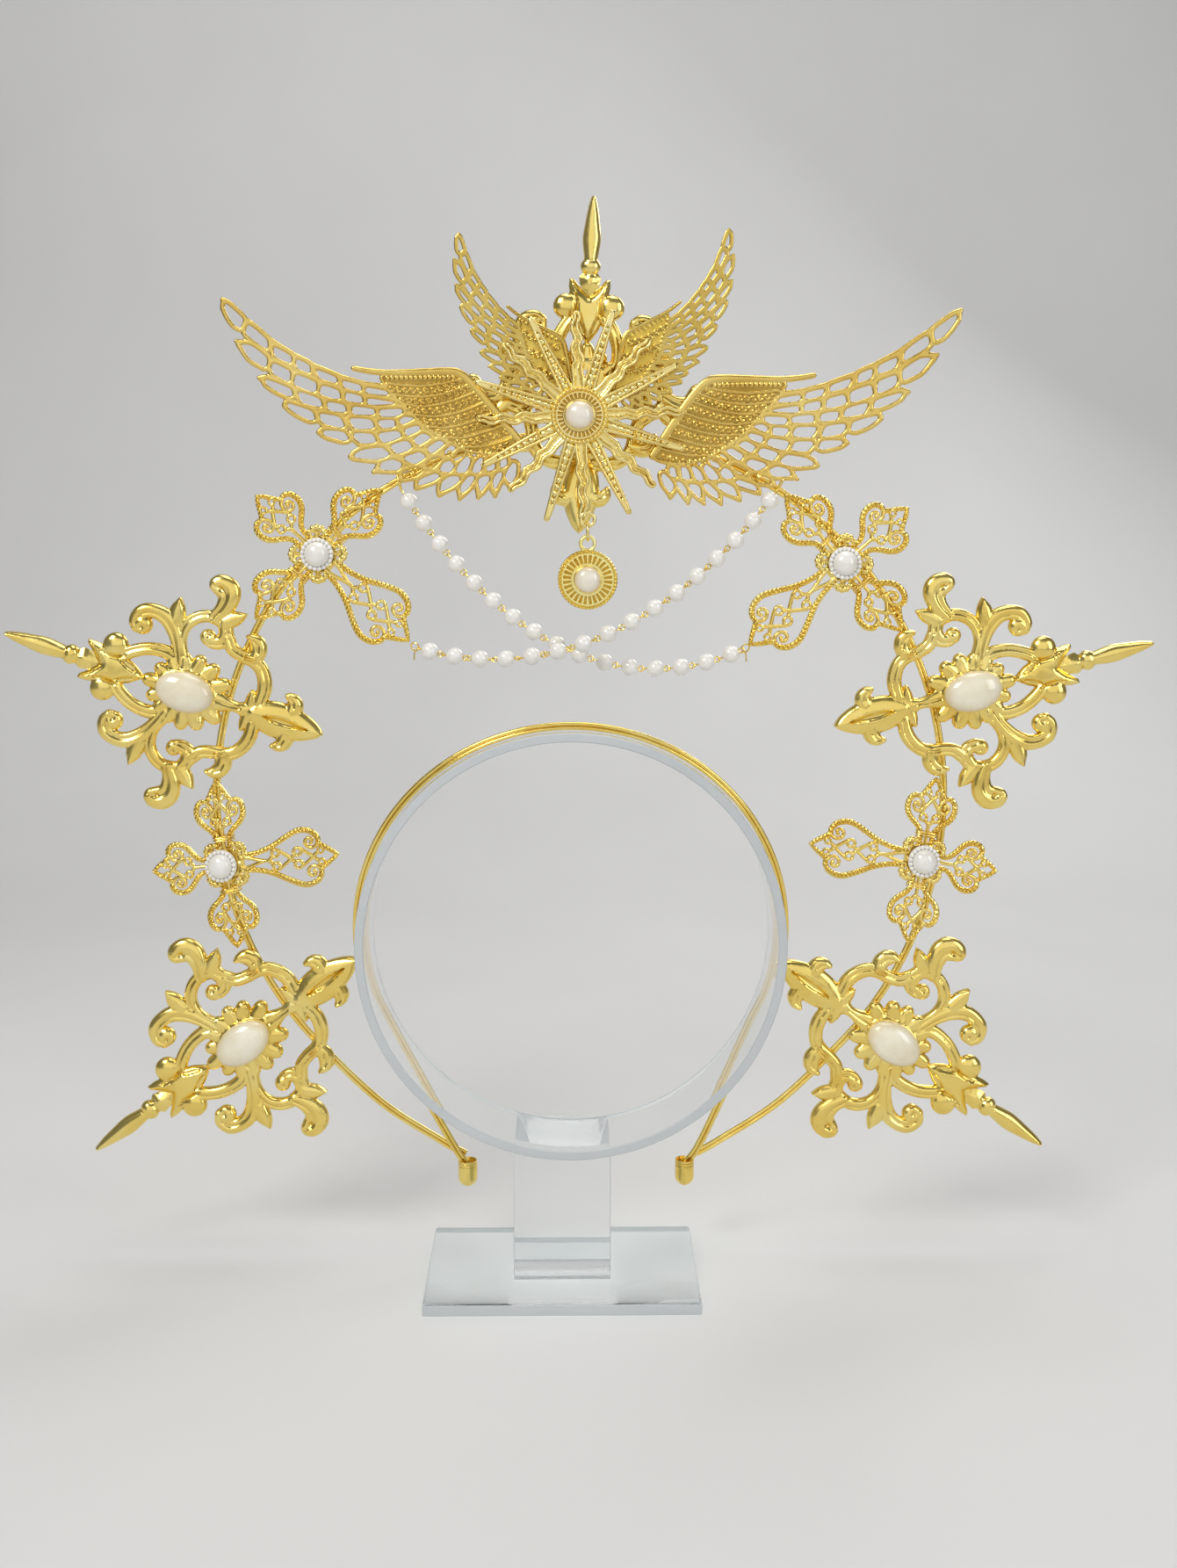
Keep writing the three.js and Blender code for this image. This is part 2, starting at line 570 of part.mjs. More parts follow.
// ---------------------------------------------------------------- drop
{
  const y = LAYER.sun.back - LAYER.sun.ray / 2;
  // The jump ring rests in the bottom of the sunburst's loop, and the medallion's loop hangs on the ring.
  const ringZ = SUN_LOOP.z - SUN_LOOP.r + SUN_LOOP.wire / 2 + JUMP.wire / 2 + 0.2 - JUMP.r;
  const ring = new THREE.TorusGeometry(JUMP.r, JUMP.wire / 2, 6, 16);
  ring.rotateY(Math.PI / 2);
  add("jump_ring", ring, PALE_GOLD).position.set(SUN_LOOP.x, y, ringZ);

  const loopZ = ringZ - JUMP.r + JUMP.wire / 2 + 0.2 - (MEDAL.loopR - MEDAL.loopWire / 2);
  const medalZ = loopZ - MEDAL.drop;
  const place = facing(SUN_LOOP.x, y + MEDAL.thick / 2, medalZ, 0);
  const loop = new THREE.TorusGeometry(MEDAL.loopR, MEDAL.loopWire / 2, 6, 14);
  const round = new THREE.CylinderGeometry(MEDAL.r, MEDAL.r, MEDAL.thick, 24).rotateX(Math.PI / 2);
  const medal = join([solid(round, move(0, 0, MEDAL.thick / 2)), solid(loop, move(0, MEDAL.drop, MEDAL.thick / 2))]);
  add("drop_medallion", shapeOf(medal), PALE_GOLD, place);
  add("drop_pearl", dome(MEDAL_PEARL.r, MEDAL_PEARL.height, 12, 4), PEARL, place).position.z = MEDAL.thick + GAP;
}

// ---------------------------------------------------------------- bead strands
// A point at a given length along a hanging strand (a catenary between its two ends).
function hanging({ from, to, length, bow }) {
  const span = Math.hypot(to[0] - from[0], to[1] - from[1]),
    rise = to[2] - from[2];
  const want = Math.sqrt(length * length - rise * rise);
  let low = span / 40,
    high = span * 40;
  for (let i = 0; i < 80; i++) {
    const a = (low + high) / 2;
    if (2 * a * Math.sinh(span / (2 * a)) > want) low = a;
    else high = a;
  }
  const a = (low + high) / 2;
  const mid = span / 2 - a * Math.asinh(rise / (2 * a * Math.sinh(span / (2 * a))));
  const drop = from[2] - a * Math.cosh(-mid / a);
  const start = a * Math.sinh(-mid / a);
  return (s) => {
    const x = mid + a * Math.asinh((start + s) / a),
      f = x / span;
    return new THREE.Vector3(
      from[0] + (to[0] - from[0]) * f,
      from[1] + (to[1] - from[1]) * f + bow * Math.sin(Math.PI * f),
      drop + a * Math.cosh((x - mid) / a),
    );
  };
}
for (const strand of STRANDS) {
  const at = hanging(strand);
  const run = [];
  for (let i = 0; i <= 60; i++) run.push(at((strand.length * i) / 60));
  const joints = new THREE.CatmullRomCurve3(run).getSpacedPoints(BEAD.count);
  const pitch = joints[0].distanceTo(joints[1]);
  const reach = pitch / 2 - (BEAD.loopR - BEAD.loopWire - 0.14);
  const ball = solid(new THREE.SphereGeometry(BEAD.r, 8, 5).rotateZ(Math.PI / 2));
  const eye = (x, spin) =>
    solid(
      new THREE.TorusGeometry(BEAD.loopR, BEAD.loopWire, 3, 6),
      move(x, 0, 0).multiply(new THREE.Matrix4().makeRotationX(spin)),
    );
  const link = shapeOf(join([ball, eye(-reach, 0), eye(reach, Math.PI / 2)]));
  for (let i = 0; i < BEAD.count; i++) {
    const bead = add(strand.name + "_bead_" + String(i + 1).padStart(2, "0"), link, PEARL);
    bead.position.copy(joints[i]).add(joints[i + 1]).multiplyScalar(0.5);
    bead.quaternion.setFromUnitVectors(new THREE.Vector3(1, 0, 0), joints[i + 1].clone().sub(joints[i]).normalize());
  }
}

export default crown;
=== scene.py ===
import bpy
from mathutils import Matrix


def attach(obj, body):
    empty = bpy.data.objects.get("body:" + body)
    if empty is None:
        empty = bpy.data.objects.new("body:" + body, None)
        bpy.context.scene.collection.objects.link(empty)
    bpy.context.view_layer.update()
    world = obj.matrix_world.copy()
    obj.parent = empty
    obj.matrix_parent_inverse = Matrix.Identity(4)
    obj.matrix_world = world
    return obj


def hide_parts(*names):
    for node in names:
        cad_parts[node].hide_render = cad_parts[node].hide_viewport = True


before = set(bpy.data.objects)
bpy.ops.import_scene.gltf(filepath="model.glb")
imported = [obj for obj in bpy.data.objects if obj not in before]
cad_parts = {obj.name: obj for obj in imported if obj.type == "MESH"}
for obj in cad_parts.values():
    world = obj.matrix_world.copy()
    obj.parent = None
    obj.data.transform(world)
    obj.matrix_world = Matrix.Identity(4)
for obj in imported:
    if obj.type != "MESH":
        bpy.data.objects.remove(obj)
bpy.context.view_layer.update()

import math

import bmesh
import bpy
import numpy as np
from mathutils import Vector
from mathutils.geometry import delaunay_2d_cdt

MM = 0.001
CROWN = "crown_and_stand"
GAP = 0.3

# ------------------------------------------------------------------ places, in millimetres, as in the CAD model
BAROQUE_BACK, CROSS_BACK = 20.0, 20.0
BAROQUES = {
    # x, z, turn clockwise from upright in degrees, whether it holds a pearl
    "top": (4.9, 298.7, 2.6, False),
    "upper_left": (-130.8, 196.6, -72.0, True),
    "upper_right": (137.1, 196.5, 75.4, True),
    "lower_left": (-112.8, 75.3, -126.4, True),
    "lower_right": (111.5, 74.4, 125.2, True),
}
CROSSES = {
    # x, z, turn, yaw, lift off the halo, scale, pearl's place on the plate
    "upper_left": (-85.8, 243.2, -46.0, 0.0, 0.0, 1.0, (0.0, 0.0)),
    "upper_right": (93.2, 240.1, 49.0, 0.0, 0.0, 1.0, (0.0, 0.0)),
    "middle_left": (-117.9, 137.0, -97.0, -10.0, 1.2, 0.94, (0.0, 1.2)),
    "middle_right": (121.0, 137.8, 99.4, 5.0, 0.9, 0.94, (0.0, 0.0)),
}
WINGS = {
    # x, back y, z, scale, turn, mirrored, bent
    "large_wing_left": (-64.6, 15.1, 290.6, 0.98, 0.0, False, False),
    "large_wing_right": (79.0, 15.1, 287.1, 0.98, 0.0, True, True),
    "small_wing_left": (-21.0, 16.4, 316.0, 0.582, 28.3, False, False),
    "small_wing_right": (36.7, 16.4, 317.6, 0.582, -28.3, True, False),
}
SUN_X, SUN_BACK, SUN_Z = 3.0, 13.6, 289.6
LOOP_X, LOOP_Y, LOOP_Z = 5.7, 12.85, 255.0
RING_Z, DROP_LOOP_Z, DROP_Z = 250.95, 246.85, 234.75
HALO_X, HALO_Z, HALO_R, HALO_Y = 3.5, 159.4, 125.0, 21.0
TUBE_R, TUBE_WALL, TUBE_Z = 70.0, 3.0, 116.9
WIRE_R, WIRE_PITCH = 0.675, 1.3


# ------------------------------------------------------------------ small helpers
def rad(deg):
    return deg * math.pi / 180


def smooth_path(rows, per):
    """A Catmull-Rom curve through rows of numbers, `per` steps between two rows."""
    p = np.array(rows, float)
    if len(p) == 2:
        t = np.linspace(0, 1, per + 1)[:, None]
        return p[0] + (p[1] - p[0]) * t
    q = np.vstack([2 * p[0] - p[1], p, 2 * p[-1] - p[-2]])
    out = []
    for i in range(1, len(q) - 2):
        a, b, c, d = q[i - 1], q[i], q[i + 1], q[i + 2]
        for t in np.linspace(0, 1, per, endpoint=False):
            out.append(0.5 * (2 * b + (c - a) * t + (2 * a - 5 * b + 4 * c - d) * t * t + (3 * b - a - 3 * c + d) * t ** 3))
    out.append(p[-1])
    out = np.array(out)
    return out


def facing(points, x, y, z, turn, yaw=0.0):
    """Points of a plate (right, up, towards the front) put in the object's frame."""
    p = np.asarray(points, float)
    t, w = rad(turn), rad(yaw)
    px = p[:, 0] * math.cos(t) + p[:, 1] * math.sin(t)
    pz = -p[:, 0] * math.sin(t) + p[:, 1] * math.cos(t)
    py = -p[:, 2]
    return np.stack([x + px * math.cos(w) - py * math.sin(w), y + px * math.sin(w) + py * math.cos(w), z + pz], 1)


class Shape:
    """Vertices in millimetres and faces, gathered from several parts, each face with a material number."""

    def __init__(self):
        self.verts, self.faces, self.mats, self.count = [], [], [], 0

    def add(self, verts, faces, mat=0):
        verts = np.asarray(verts, float)
        n = self.count
        self.verts.append(verts)
        self.faces += [[i + n for i in f] for f in faces]
        self.mats += list(mat) if np.ndim(mat) else [mat] * len(faces)
        self.count += len(verts)
        return self

    def points(self):
        return np.vstack(self.verts)


def piece(name, shape, materials, body=CROWN, replaces=(), sharp=38.0):
    """A named mesh object that rides on a body and takes the materials given to it."""
    mesh = bpy.data.meshes.new(name)
    mesh.from_pydata((shape.points() * MM).tolist(), [], shape.faces)
    mesh.polygons.foreach_set("use_smooth", np.ones(len(mesh.polygons), bool))
    mesh.polygons.foreach_set("material_index", np.array(shape.mats, np.int32))
    mesh.update()
    mesh.set_sharp_from_angle(angle=rad(sharp))
    for m in materials:
        mesh.materials.append(m)
    obj = bpy.data.objects.new(name, mesh)
    bpy.context.scene.collection.objects.link(obj)
    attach(obj, body)
    if replaces:
        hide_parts(*replaces)
    return obj


def tube(path, radius, sides=10, closed=False, up=(0, 0, 1)):
    """A round wire along points; the radius may be one number or one for each point. Ends are domed shut."""
    p = np.asarray(path, float)
    n = len(p)
    r = np.full(n, radius, float) if np.isscalar(radius) else np.asarray(radius, float)
    if closed:
        tan = np.roll(p, -1, 0) - np.roll(p, 1, 0)
    else:
        tan = np.gradient(p, axis=0)
    tan /= np.linalg.norm(tan, axis=1)[:, None]
    a = np.cross(tan[0], up)
    if np.linalg.norm(a) < 1e-3:
        a = np.cross(tan[0], (0, 1, 0))
    a /= np.linalg.norm(a)
    frames = [a]
    for i in range(1, n):
        a = frames[-1] - tan[i] * np.dot(frames[-1], tan[i])
        frames.append(a / np.linalg.norm(a))
    A = np.array(frames)
    if closed:
        # spread the leftover turn along the loop
        end = A[-1] - tan[0] * np.dot(A[-1], tan[0])
        end /= np.linalg.norm(end)
        b0 = np.cross(tan[0], A[0])
        slip = math.atan2(np.dot(end, b0), np.dot(end, A[0]))
        B = np.cross(tan, A)
        k = -slip * np.arange(n) / n
        A = A * np.cos(k)[:, None] + B * np.sin(k)[:, None]
    B = np.cross(tan, A)
    ang = np.arange(sides) * 2 * math.pi / sides
    rings = p[:, None] + r[:, None, None] * (A[:, None] * np.cos(ang)[None, :, None] + B[:, None] * np.sin(ang)[None, :, None])
    verts = rings.reshape(-1, 3)
    faces = []
    for i in range(n if closed else n - 1):
        j = (i + 1) % n
        for k in range(sides):
            m = (k + 1) % sides
            faces.append([i * sides + k, i * sides + m, j * sides + m, j * sides + k])
    if not closed:
        tips = np.array([p[0] - tan[0] * r[0] * 0.45, p[-1] + tan[-1] * r[-1] * 0.45])
        verts = np.vstack([verts, tips])
        q = n * sides
        for k in range(sides):
            m = (k + 1) % sides
            faces.append([q, m, k])
            faces.append([q + 1, (n - 1) * sides + k, (n - 1) * sides + m])
    return verts, faces


def ring_path(centre, a_axis, b_axis, a, b, count, power=1.0):
    """A closed oval of points; a power below 1 makes it squarer."""
    t = np.arange(count) * 2 * math.pi / count
    c, s = np.cos(t), np.sin(t)
    c = np.sign(c) * np.abs(c) ** power
    s = np.sign(s) * np.abs(s) ** power
    return np.asarray(centre, float) + np.outer(a * c, a_axis) + np.outer(b * s, b_axis)


def lathe(profile, sides, scale=(1.0, 1.0)):
    """A solid turned round its z axis from rows of (radius, z), first and last on the axis."""
    rows = [(r, z) for r, z in profile]
    verts, faces = [(0.0, 0.0, rows[0][1])], []
    ang = np.arange(sides) * 2 * math.pi / sides
    mid = rows[1:-1]
    for r, z in mid:
        verts += [(r * math.cos(t) * scale[0], r * math.sin(t) * scale[1], z) for t in ang]
    verts.append((0.0, 0.0, rows[-1][1]))
    last = len(verts) - 1
    for k in range(sides):
        m = (k + 1) % sides
        faces.append([0, 1 + m, 1 + k])
        for i in range(len(mid) - 1):
            a, b = 1 + i * sides, 1 + (i + 1) * sides
            faces.append([a + k, a + m, b + m, b + k])
        a = 1 + (len(mid) - 1) * sides
        faces.append([a + k, a + m, last])
    return np.array(verts), faces


def polar(height, radii, spokes, back=0.0):
    """A round relief: height(r, angle) over rings of points, with a straight rim and a flat back."""
    ang = np.arange(spokes) * 2 * math.pi / spokes
    verts, faces = [(0.0, 0.0, float(height(np.array(0.0), np.array(0.0))))], []
    for r in radii:
        z = height(np.full(spokes, r), ang)
        verts += [(r * math.cos(t), r * math.sin(t), float(h)) for t, h in zip(ang, z)]
    n = len(radii)
    r = radii[-1]
    verts += [(r * math.cos(t), r * math.sin(t), back) for t in ang]
    verts.append((0.0, 0.0, back))
    end = len(verts) - 1
    for k in range(spokes):
        m = (k + 1) % spokes
        faces.append([0, 1 + k, 1 + m])
        for i in range(n):
            a, b = 1 + i * spokes, 1 + (i + 1) * spokes
            faces.append([a + k, b + k, b + m, a + m])
        b = 1 + n * spokes
        faces.append([end, b + m, b + k])
    return np.array(verts), faces


# ------------------------------------------------------------------ stamped and cast plates as reliefs
def sunk(verts, faces, inner, outer, count):
    """Material numbers for a round relief: 1 on the faces that lie in the hollows of its flutes, which take a darker
    gold as painted shade; 0 elsewhere.
    """
    mid = np.array([verts[f].mean(0) for f in faces])
    r, t = np.hypot(mid[:, 0], mid[:, 1]), np.arctan2(mid[:, 1], mid[:, 0])
    return ((r > inner) & (r < outer) & (np.cos(count * t) < -0.3) & (mid[:, 2] > 0.8)).astype(int)


def thinned(verts, faces, ratio, tone=None):
    """The same surface with fewer faces, fewest where it is flat; returns vertices, faces and material numbers."""
    mesh = bpy.data.meshes.new("thinned")
    mesh.from_pydata([tuple(v) for v in verts], [], [tuple(f) for f in faces])
    mesh.polygons.foreach_set("material_index", np.zeros(len(faces), np.int32) if tone is None else tone.astype(np.int32))
    obj = bpy.data.objects.new("thinned", mesh)
    bpy.context.scene.collection.objects.link(obj)
    obj.modifiers.new("thinned", "DECIMATE").ratio = ratio
    made = obj.evaluated_get(bpy.context.evaluated_depsgraph_get())
    done = made.to_mesh()
    out = np.zeros(len(done.vertices) * 3)
    done.vertices.foreach_get("co", out)
    kept = [list(q.vertices) for q in done.polygons]
    tone = np.array([q.material_index for q in done.polygons])
    made.to_mesh_clear()
    bpy.data.objects.remove(obj)
    bpy.data.meshes.remove(mesh)
    return out.reshape(-1, 3), kept, tone


def hollows(verts, faces, outline, low, high):
    """Material numbers for a relief: 1 on the faces inside an outline that lie between two heights, which take a
    darker gold as painted shadow; 0 elsewhere.
    """
    mid = np.array([verts[f].mean(0) for f in faces])
    odd = np.zeros(len(mid), bool)
    p = np.array(outline, float)
    for a, b in zip(p, np.roll(p, -1, 0)):
        if a[1] != b[1]:
            spans = (a[1] > mid[:, 1]) != (b[1] > mid[:, 1])
            odd ^= spans & (mid[:, 0] < a[0] + (mid[:, 1] - a[1]) * (b[0] - a[0]) / (b[1] - a[1]))
    return (odd & (mid[:, 2] > low) & (mid[:, 2] < high)).astype(int)


def section_round(x):
    return np.sqrt(np.clip(1 - x * x, 0, 1))


def section_ridge(x):
    return 1 - np.clip(x, 0, 1) ** 1.25


def section_groove(x):
    return section_round(x) ** 0.9 * (1 - 0.62 * np.exp(-((x / 0.3) ** 2)))


def rounded(outline, cuts=(0.16, 0.25)):
    """A closed outline with its corners cut round."""
    p = np.array(outline, float)
    for c in cuts:
        q = np.roll(p, -1, 0)
        p = np.stack([p * (1 - c) + q * c, p * c + q * (1 - c)], 1).reshape(-1, 2)
    return p


def section_flat(x):
    return np.clip((1 - x) / 0.4, 0, 1) ** 0.6


SECTIONS = {"round": section_round, "ridge": section_ridge, "groove": section_groove, "flat": section_flat}


class Relief:
    """A plate over a grid: how far each point lies inside the outline, and the height of the front there."""

    def __init__(self, u0, u1, v0, v1, step):
        self.step = step
        self.u = np.arange(u0, u1 + step, step)
        self.v = np.arange(v0, v1 + step, step)
        self.U, self.V = np.meshgrid(self.u, self.v, indexing="ij")
        self.inside = np.full(self.U.shape, -9.0)
        self.front = np.zeros(self.U.shape)

    def window(self, u0, u1, v0, v1):
        i0, i1 = np.searchsorted(self.u, [u0, u1])
        j0, j1 = np.searchsorted(self.v, [v0, v1])
        return slice(max(i0 - 1, 0), i1 + 1), slice(max(j0 - 1, 0), j1 + 1)

    def measure(self, path):
        """How far inside a ribbon each point lies, its distance over the half width, its length along and its side."""
        m = path[:, 2].max() + 1.4
        win = self.window(path[:, 0].min() - m, path[:, 0].max() + m, path[:, 1].min() - m, path[:, 1].max() + m)
        U, V = self.U[win], self.V[win]
        best = np.full(U.shape, -99.0)
        x, s, side = np.ones(U.shape) * 9, np.zeros(U.shape), np.ones(U.shape)
        run = 0.0
        for a, b in zip(path[:-1], path[1:]):
            d = b[:2] - a[:2]
            size = math.hypot(*d)
            if size < 1e-9:
                continue
            h = max(a[2], b[2]) + 1.4
            iu = np.searchsorted(U[:, 0], [min(a[0], b[0]) - h, max(a[0], b[0]) + h])
            iv = np.searchsorted(V[0], [min(a[1], b[1]) - h, max(a[1], b[1]) + h])
            part = (slice(iu[0], iu[1]), slice(iv[0], iv[1]))
            pu, pv = U[part] - a[0], V[part] - a[1]
            t = np.clip((pu * d[0] + pv * d[1]) / size ** 2, 0, 1)
            off = np.hypot(pu - t * d[0], pv - t * d[1])
            half = a[2] + t * (b[2] - a[2])
            deep = half - off
            better = deep > best[part]
            best[part] = np.where(better, deep, best[part])
            x[part] = np.where(better, off / np.maximum(half, 1e-3), x[part])
            s[part] = np.where(better, run + t * size, s[part])
            side[part] = np.where(better, np.sign(pv * d[0] - pu * d[1]), side[part])
            run += size
        return win, best, np.clip(x, 0, 1), s, side

    def put(self, win, deep, height, blend):
        near = deep > -1.8 * self.step
        if blend > 0:
            old = self.inside[win]
            h = np.clip(blend - np.abs(old - deep), 0, None) / blend
            self.inside[win] = np.maximum(old, deep) + h * h * blend * 0.25
        else:
            self.inside[win] = np.maximum(self.inside[win], deep)
        self.front[win] = np.where(near, np.maximum(self.front[win], height), self.front[win])

    def stroke(self, rows, edge, rise, section="round", per=6, rope=None, blend=0.5, lean=0.0, hand=1):
        """A raised ribbon along rows of (u, v, half width). rope is the pitch of a twist along it."""
        win, deep, x, s, side = self.measure(smooth_path(rows, per))
        if section == "scroll":
            shape = section_round(x) ** 0.85 * (1 - 0.32 * np.exp(-(((side * x * hand - 0.24) / 0.26) ** 2)))
        else:
            shape = SECTIONS[section](x)
        if rope:
            shape = shape * (0.64 + 0.36 * np.cos(2 * math.pi * (s / rope + 0.42 * side * x)))
        self.put(win, deep, edge + rise * shape + lean * side * x, blend)

    def ball(self, u, v, r, edge, rise, section="round", blend=0.5, oval=1.0):
        win = self.window(u - r - 2, u + r + 2, v - r * oval - 2, v + r * oval + 2)
        off = np.hypot(self.U[win] - u, (self.V[win] - v) / oval)
        self.put(win, r - off, edge + rise * SECTIONS[section](np.clip(off / r, 0, 1)), blend)

    def signed(self, outline, pad):
        """How far inside a closed outline each point near it lies; negative outside."""
        p = np.array(outline, float)
        win = self.window(p[:, 0].min() - pad, p[:, 0].max() + pad, p[:, 1].min() - pad, p[:, 1].max() + pad)
        U, V = self.U[win], self.V[win]
        off, odd = np.full(U.shape, 99.0), np.zeros(U.shape, bool)
        for a, b in zip(p, np.roll(p, -1, 0)):
            d = b - a
            t = np.clip(((U - a[0]) * d[0] + (V - a[1]) * d[1]) / max(d @ d, 1e-12), 0, 1)
            off = np.minimum(off, np.hypot(U - a[0] - t * d[0], V - a[1] - t * d[1]))
            spans = (a[1] > V) != (b[1] > V)
            odd ^= spans & (U < a[0] + (V - a[1]) * d[0] / (d[1] if abs(d[1]) > 1e-12 else 1e-12))
        return win, np.where(odd, off, -off)

    def plate(self, outline, edge, rise, bevel, blend=0.3):
        """A flat area with a bevelled edge."""
        win, deep = self.signed(outline, 2.0)
        self.put(win, deep, edge + rise * np.clip(deep / bevel, 0, 1) ** 0.7, blend)
        return win, deep

    def emboss(self, u, v, r, floor, rise, eye):
        """A raised ring on the front, with a dot in its middle when eye is above zero."""
        win = self.window(u - r - 0.5, u + r + 0.5, v - r - 0.5, v + r + 0.5)
        off = np.hypot(self.U[win] - u, self.V[win] - v) / r
        h = floor + rise * np.exp(-(((off - 0.68) / 0.24) ** 2)) + eye * np.exp(-((off / 0.25) ** 2))
        self.front[win] = np.where((off < 1.05) & (self.inside[win] > 0.15), h, self.front[win])

    def hole(self, u, v, r):
        win = self.window(u - r - 1, u + r + 1, v - r - 1, v + r + 1)
        self.inside[win] = np.minimum(self.inside[win], np.hypot(self.U[win] - u, self.V[win] - v) - r)

    def groove(self, rows, depth, per=6):
        win, deep, x, s, side = self.measure(smooth_path(rows, per))
        self.front[win] -= np.where(deep > 0, depth * (1 - x * x) ** 1.5, 0)

    def dimple(self, u, v, r, depth):
        win = self.window(u - 3 * r, u + 3 * r, v - 3 * r, v + 3 * r)
        off = np.hypot(self.U[win] - u, self.V[win] - v) / r
        self.front[win] -= depth * np.exp(-(off ** 2))

    def ringlet(self, u, v, r, edge, rise, hole):
        """A small ring of wire round a hole."""
        win = self.window(u - r - 2, u + r + 2, v - r - 2, v + r + 2)
        off = np.hypot(self.U[win] - u, self.V[win] - v)
        mid, half = (r + hole) / 2, (r - hole) / 2
        self.put(win, r - off, edge + rise * section_round(np.clip(np.abs(off - mid) / half, 0, 1)), 0.2)
        self.inside[win] = np.minimum(self.inside[win], off - hole)

    def solid(self, shell=None):
        """The closed mesh: front, walls and back. With a shell thickness the back is hollow, as stamped sheet is."""
        S, F = self.inside, self.front
        nu, nv = S.shape
        ins = S > 0
        ins[0, :] = ins[-1, :] = ins[:, 0] = ins[:, -1] = False
        corner = np.full(S.shape, -1)
        gi, gj = np.nonzero(ins)
        corner[gi, gj] = np.arange(len(gi))
        pts = [np.stack([self.U[gi, gj], self.V[gi, gj], F[gi, gj]], 1)]
        count = len(gi)

        def crossings(i0, j0, i1, j1):
            s0, s1 = S[i0, j0], S[i1, j1]
            t = np.clip(s0 / (s0 - s1), 0.06, 0.94)
            # the outline takes the height of the inside corner
            z = np.where(s0 > 0, F[i0, j0], F[i1, j1])
            zo = np.where(s0 > 0, F[i1, j1], F[i0, j0])
            z = np.where(zo > 0.05, np.minimum(z, zo), z)
            return np.stack([self.U[i0, j0] + t * (self.U[i1, j1] - self.U[i0, j0]), self.V[i0, j0] + t * (self.V[i1, j1] - self.V[i0, j0]), z], 1)

        flat_u, flat_v = np.full(S.shape, -1), np.full(S.shape, -1)
        i, j = np.nonzero(ins[:-1] != ins[1:])
        flat_u[i, j] = count + np.arange(len(i))
        pts.append(crossings(i, j, i + 1, j))
        count += len(i)
        i, j = np.nonzero(ins[:, :-1] != ins[:, 1:])
        flat_v[i, j] = count + np.arange(len(i))
        pts.append(crossings(i, j, i, j + 1))
        count += len(i)
        front = np.vstack(pts)

        case = ins[:-1, :-1] * 1 + ins[1:, :-1] * 2 + ins[1:, 1:] * 4 + ins[:-1, 1:] * 8
        faces, rim = [], []
        for c in range(1, 16):
            ci, cj = np.nonzero(case == c)
            if not len(ci):
                continue
            at = [corner[ci, cj], corner[ci + 1, cj], corner[ci + 1, cj + 1], corner[ci, cj + 1]]
            on = [flat_u[ci, cj], flat_v[np.minimum(ci + 1, nu - 1), cj], flat_u[ci, np.minimum(cj + 1, nv - 1)], flat_v[ci, cj]]
            loop = []
            for k in range(4):
                here, there = c >> k & 1, c >> ((k + 1) % 4) & 1
                if here:
                    loop.append((at[k], 0))
                if here != there:
                    loop.append((on[k], 1))
            faces += np.stack([a for a, _ in loop], 1).tolist()
            for k in range(len(loop)):
                (a, ka), (b, kb) = loop[k], loop[(k + 1) % len(loop)]
                if ka and kb:
                    rim.append(np.stack([a, b], 1))
        rim = np.vstack(rim)
        n = len(front)
        if shell is not None:
            back = front.copy()
            back[:, 2] = np.maximum(0, front[:, 2] - shell)
            edge = np.unique(rim)
            back[edge, 2] = np.minimum(back[edge, 2], 0.05)
            verts = np.vstack([front, back])
            made = faces + [[k + n for k in reversed(f)] for f in faces]
            made += np.stack([rim[:, 1], rim[:, 0], rim[:, 0] + n, rim[:, 1] + n], 1).tolist()
            return verts, made
        edge = np.unique(rim)
        spot = {int(k): m for m, k in enumerate(edge)}
        outline = [Vector((float(front[k, 0]), float(front[k, 1]))) for k in edge]
        sides = [(spot[int(a)], spot[int(b)]) for a, b in rim]
        found = delaunay_2d_cdt(outline, sides, [], 0, 1e-7)
        flat, where = found[0], found[3]
        to = [where[k][0] if where[k] else -1 for k in range(len(flat))]
        low = front[edge].copy()
        low[:, 2] = 0.0
        for k in range(len(flat)):
            if to[k] < 0:
                to[k] = len(low)
                low = np.vstack([low, [flat[k].x, flat[k].y, 0.0]])
        tris = []
        for t in found[2]:
            a = [to[k] for k in t]
            q = low[a]
            area = (q[1, 0] - q[0, 0]) * (q[2, 1] - q[0, 1]) - (q[2, 0] - q[0, 0]) * (q[1, 1] - q[0, 1])
            tris.append(a if area > 0 else a[::-1])
        # metal lies to the left of each side of the outline: start there and spread to the neighbours
        sideways = set(sides)
        owner = {(t[k], t[(k + 1) % 3]): m for m, t in enumerate(tris) for k in range(3)}
        todo = [owner[e] for e in sides if e in owner]
        kept = set(todo)
        while todo:
            t = tris[todo.pop()]
            for k in range(3):
                e = (t[k], t[(k + 1) % 3])
                if e in sideways:
                    continue
                m = owner.get(e[::-1])
                if m is not None and m not in kept:
                    kept.add(m)
                    todo.append(m)
        verts = np.vstack([front, low])
        made = list(faces)
        made += [[k + n for k in tris[m][::-1]] for m in sorted(kept)]
        down = {int(k): n + m for m, k in enumerate(edge)}
        made += [[int(b), int(a), down[int(a)], down[int(b)]] for a, b in rim]
        return verts, made


# ------------------------------------------------------------------ materials
def nodes_of(name):
    mat = bpy.data.materials.new(name)
    mat.use_nodes = True
    tree = mat.node_tree
    return mat, tree, tree.nodes["Principled BSDF"]


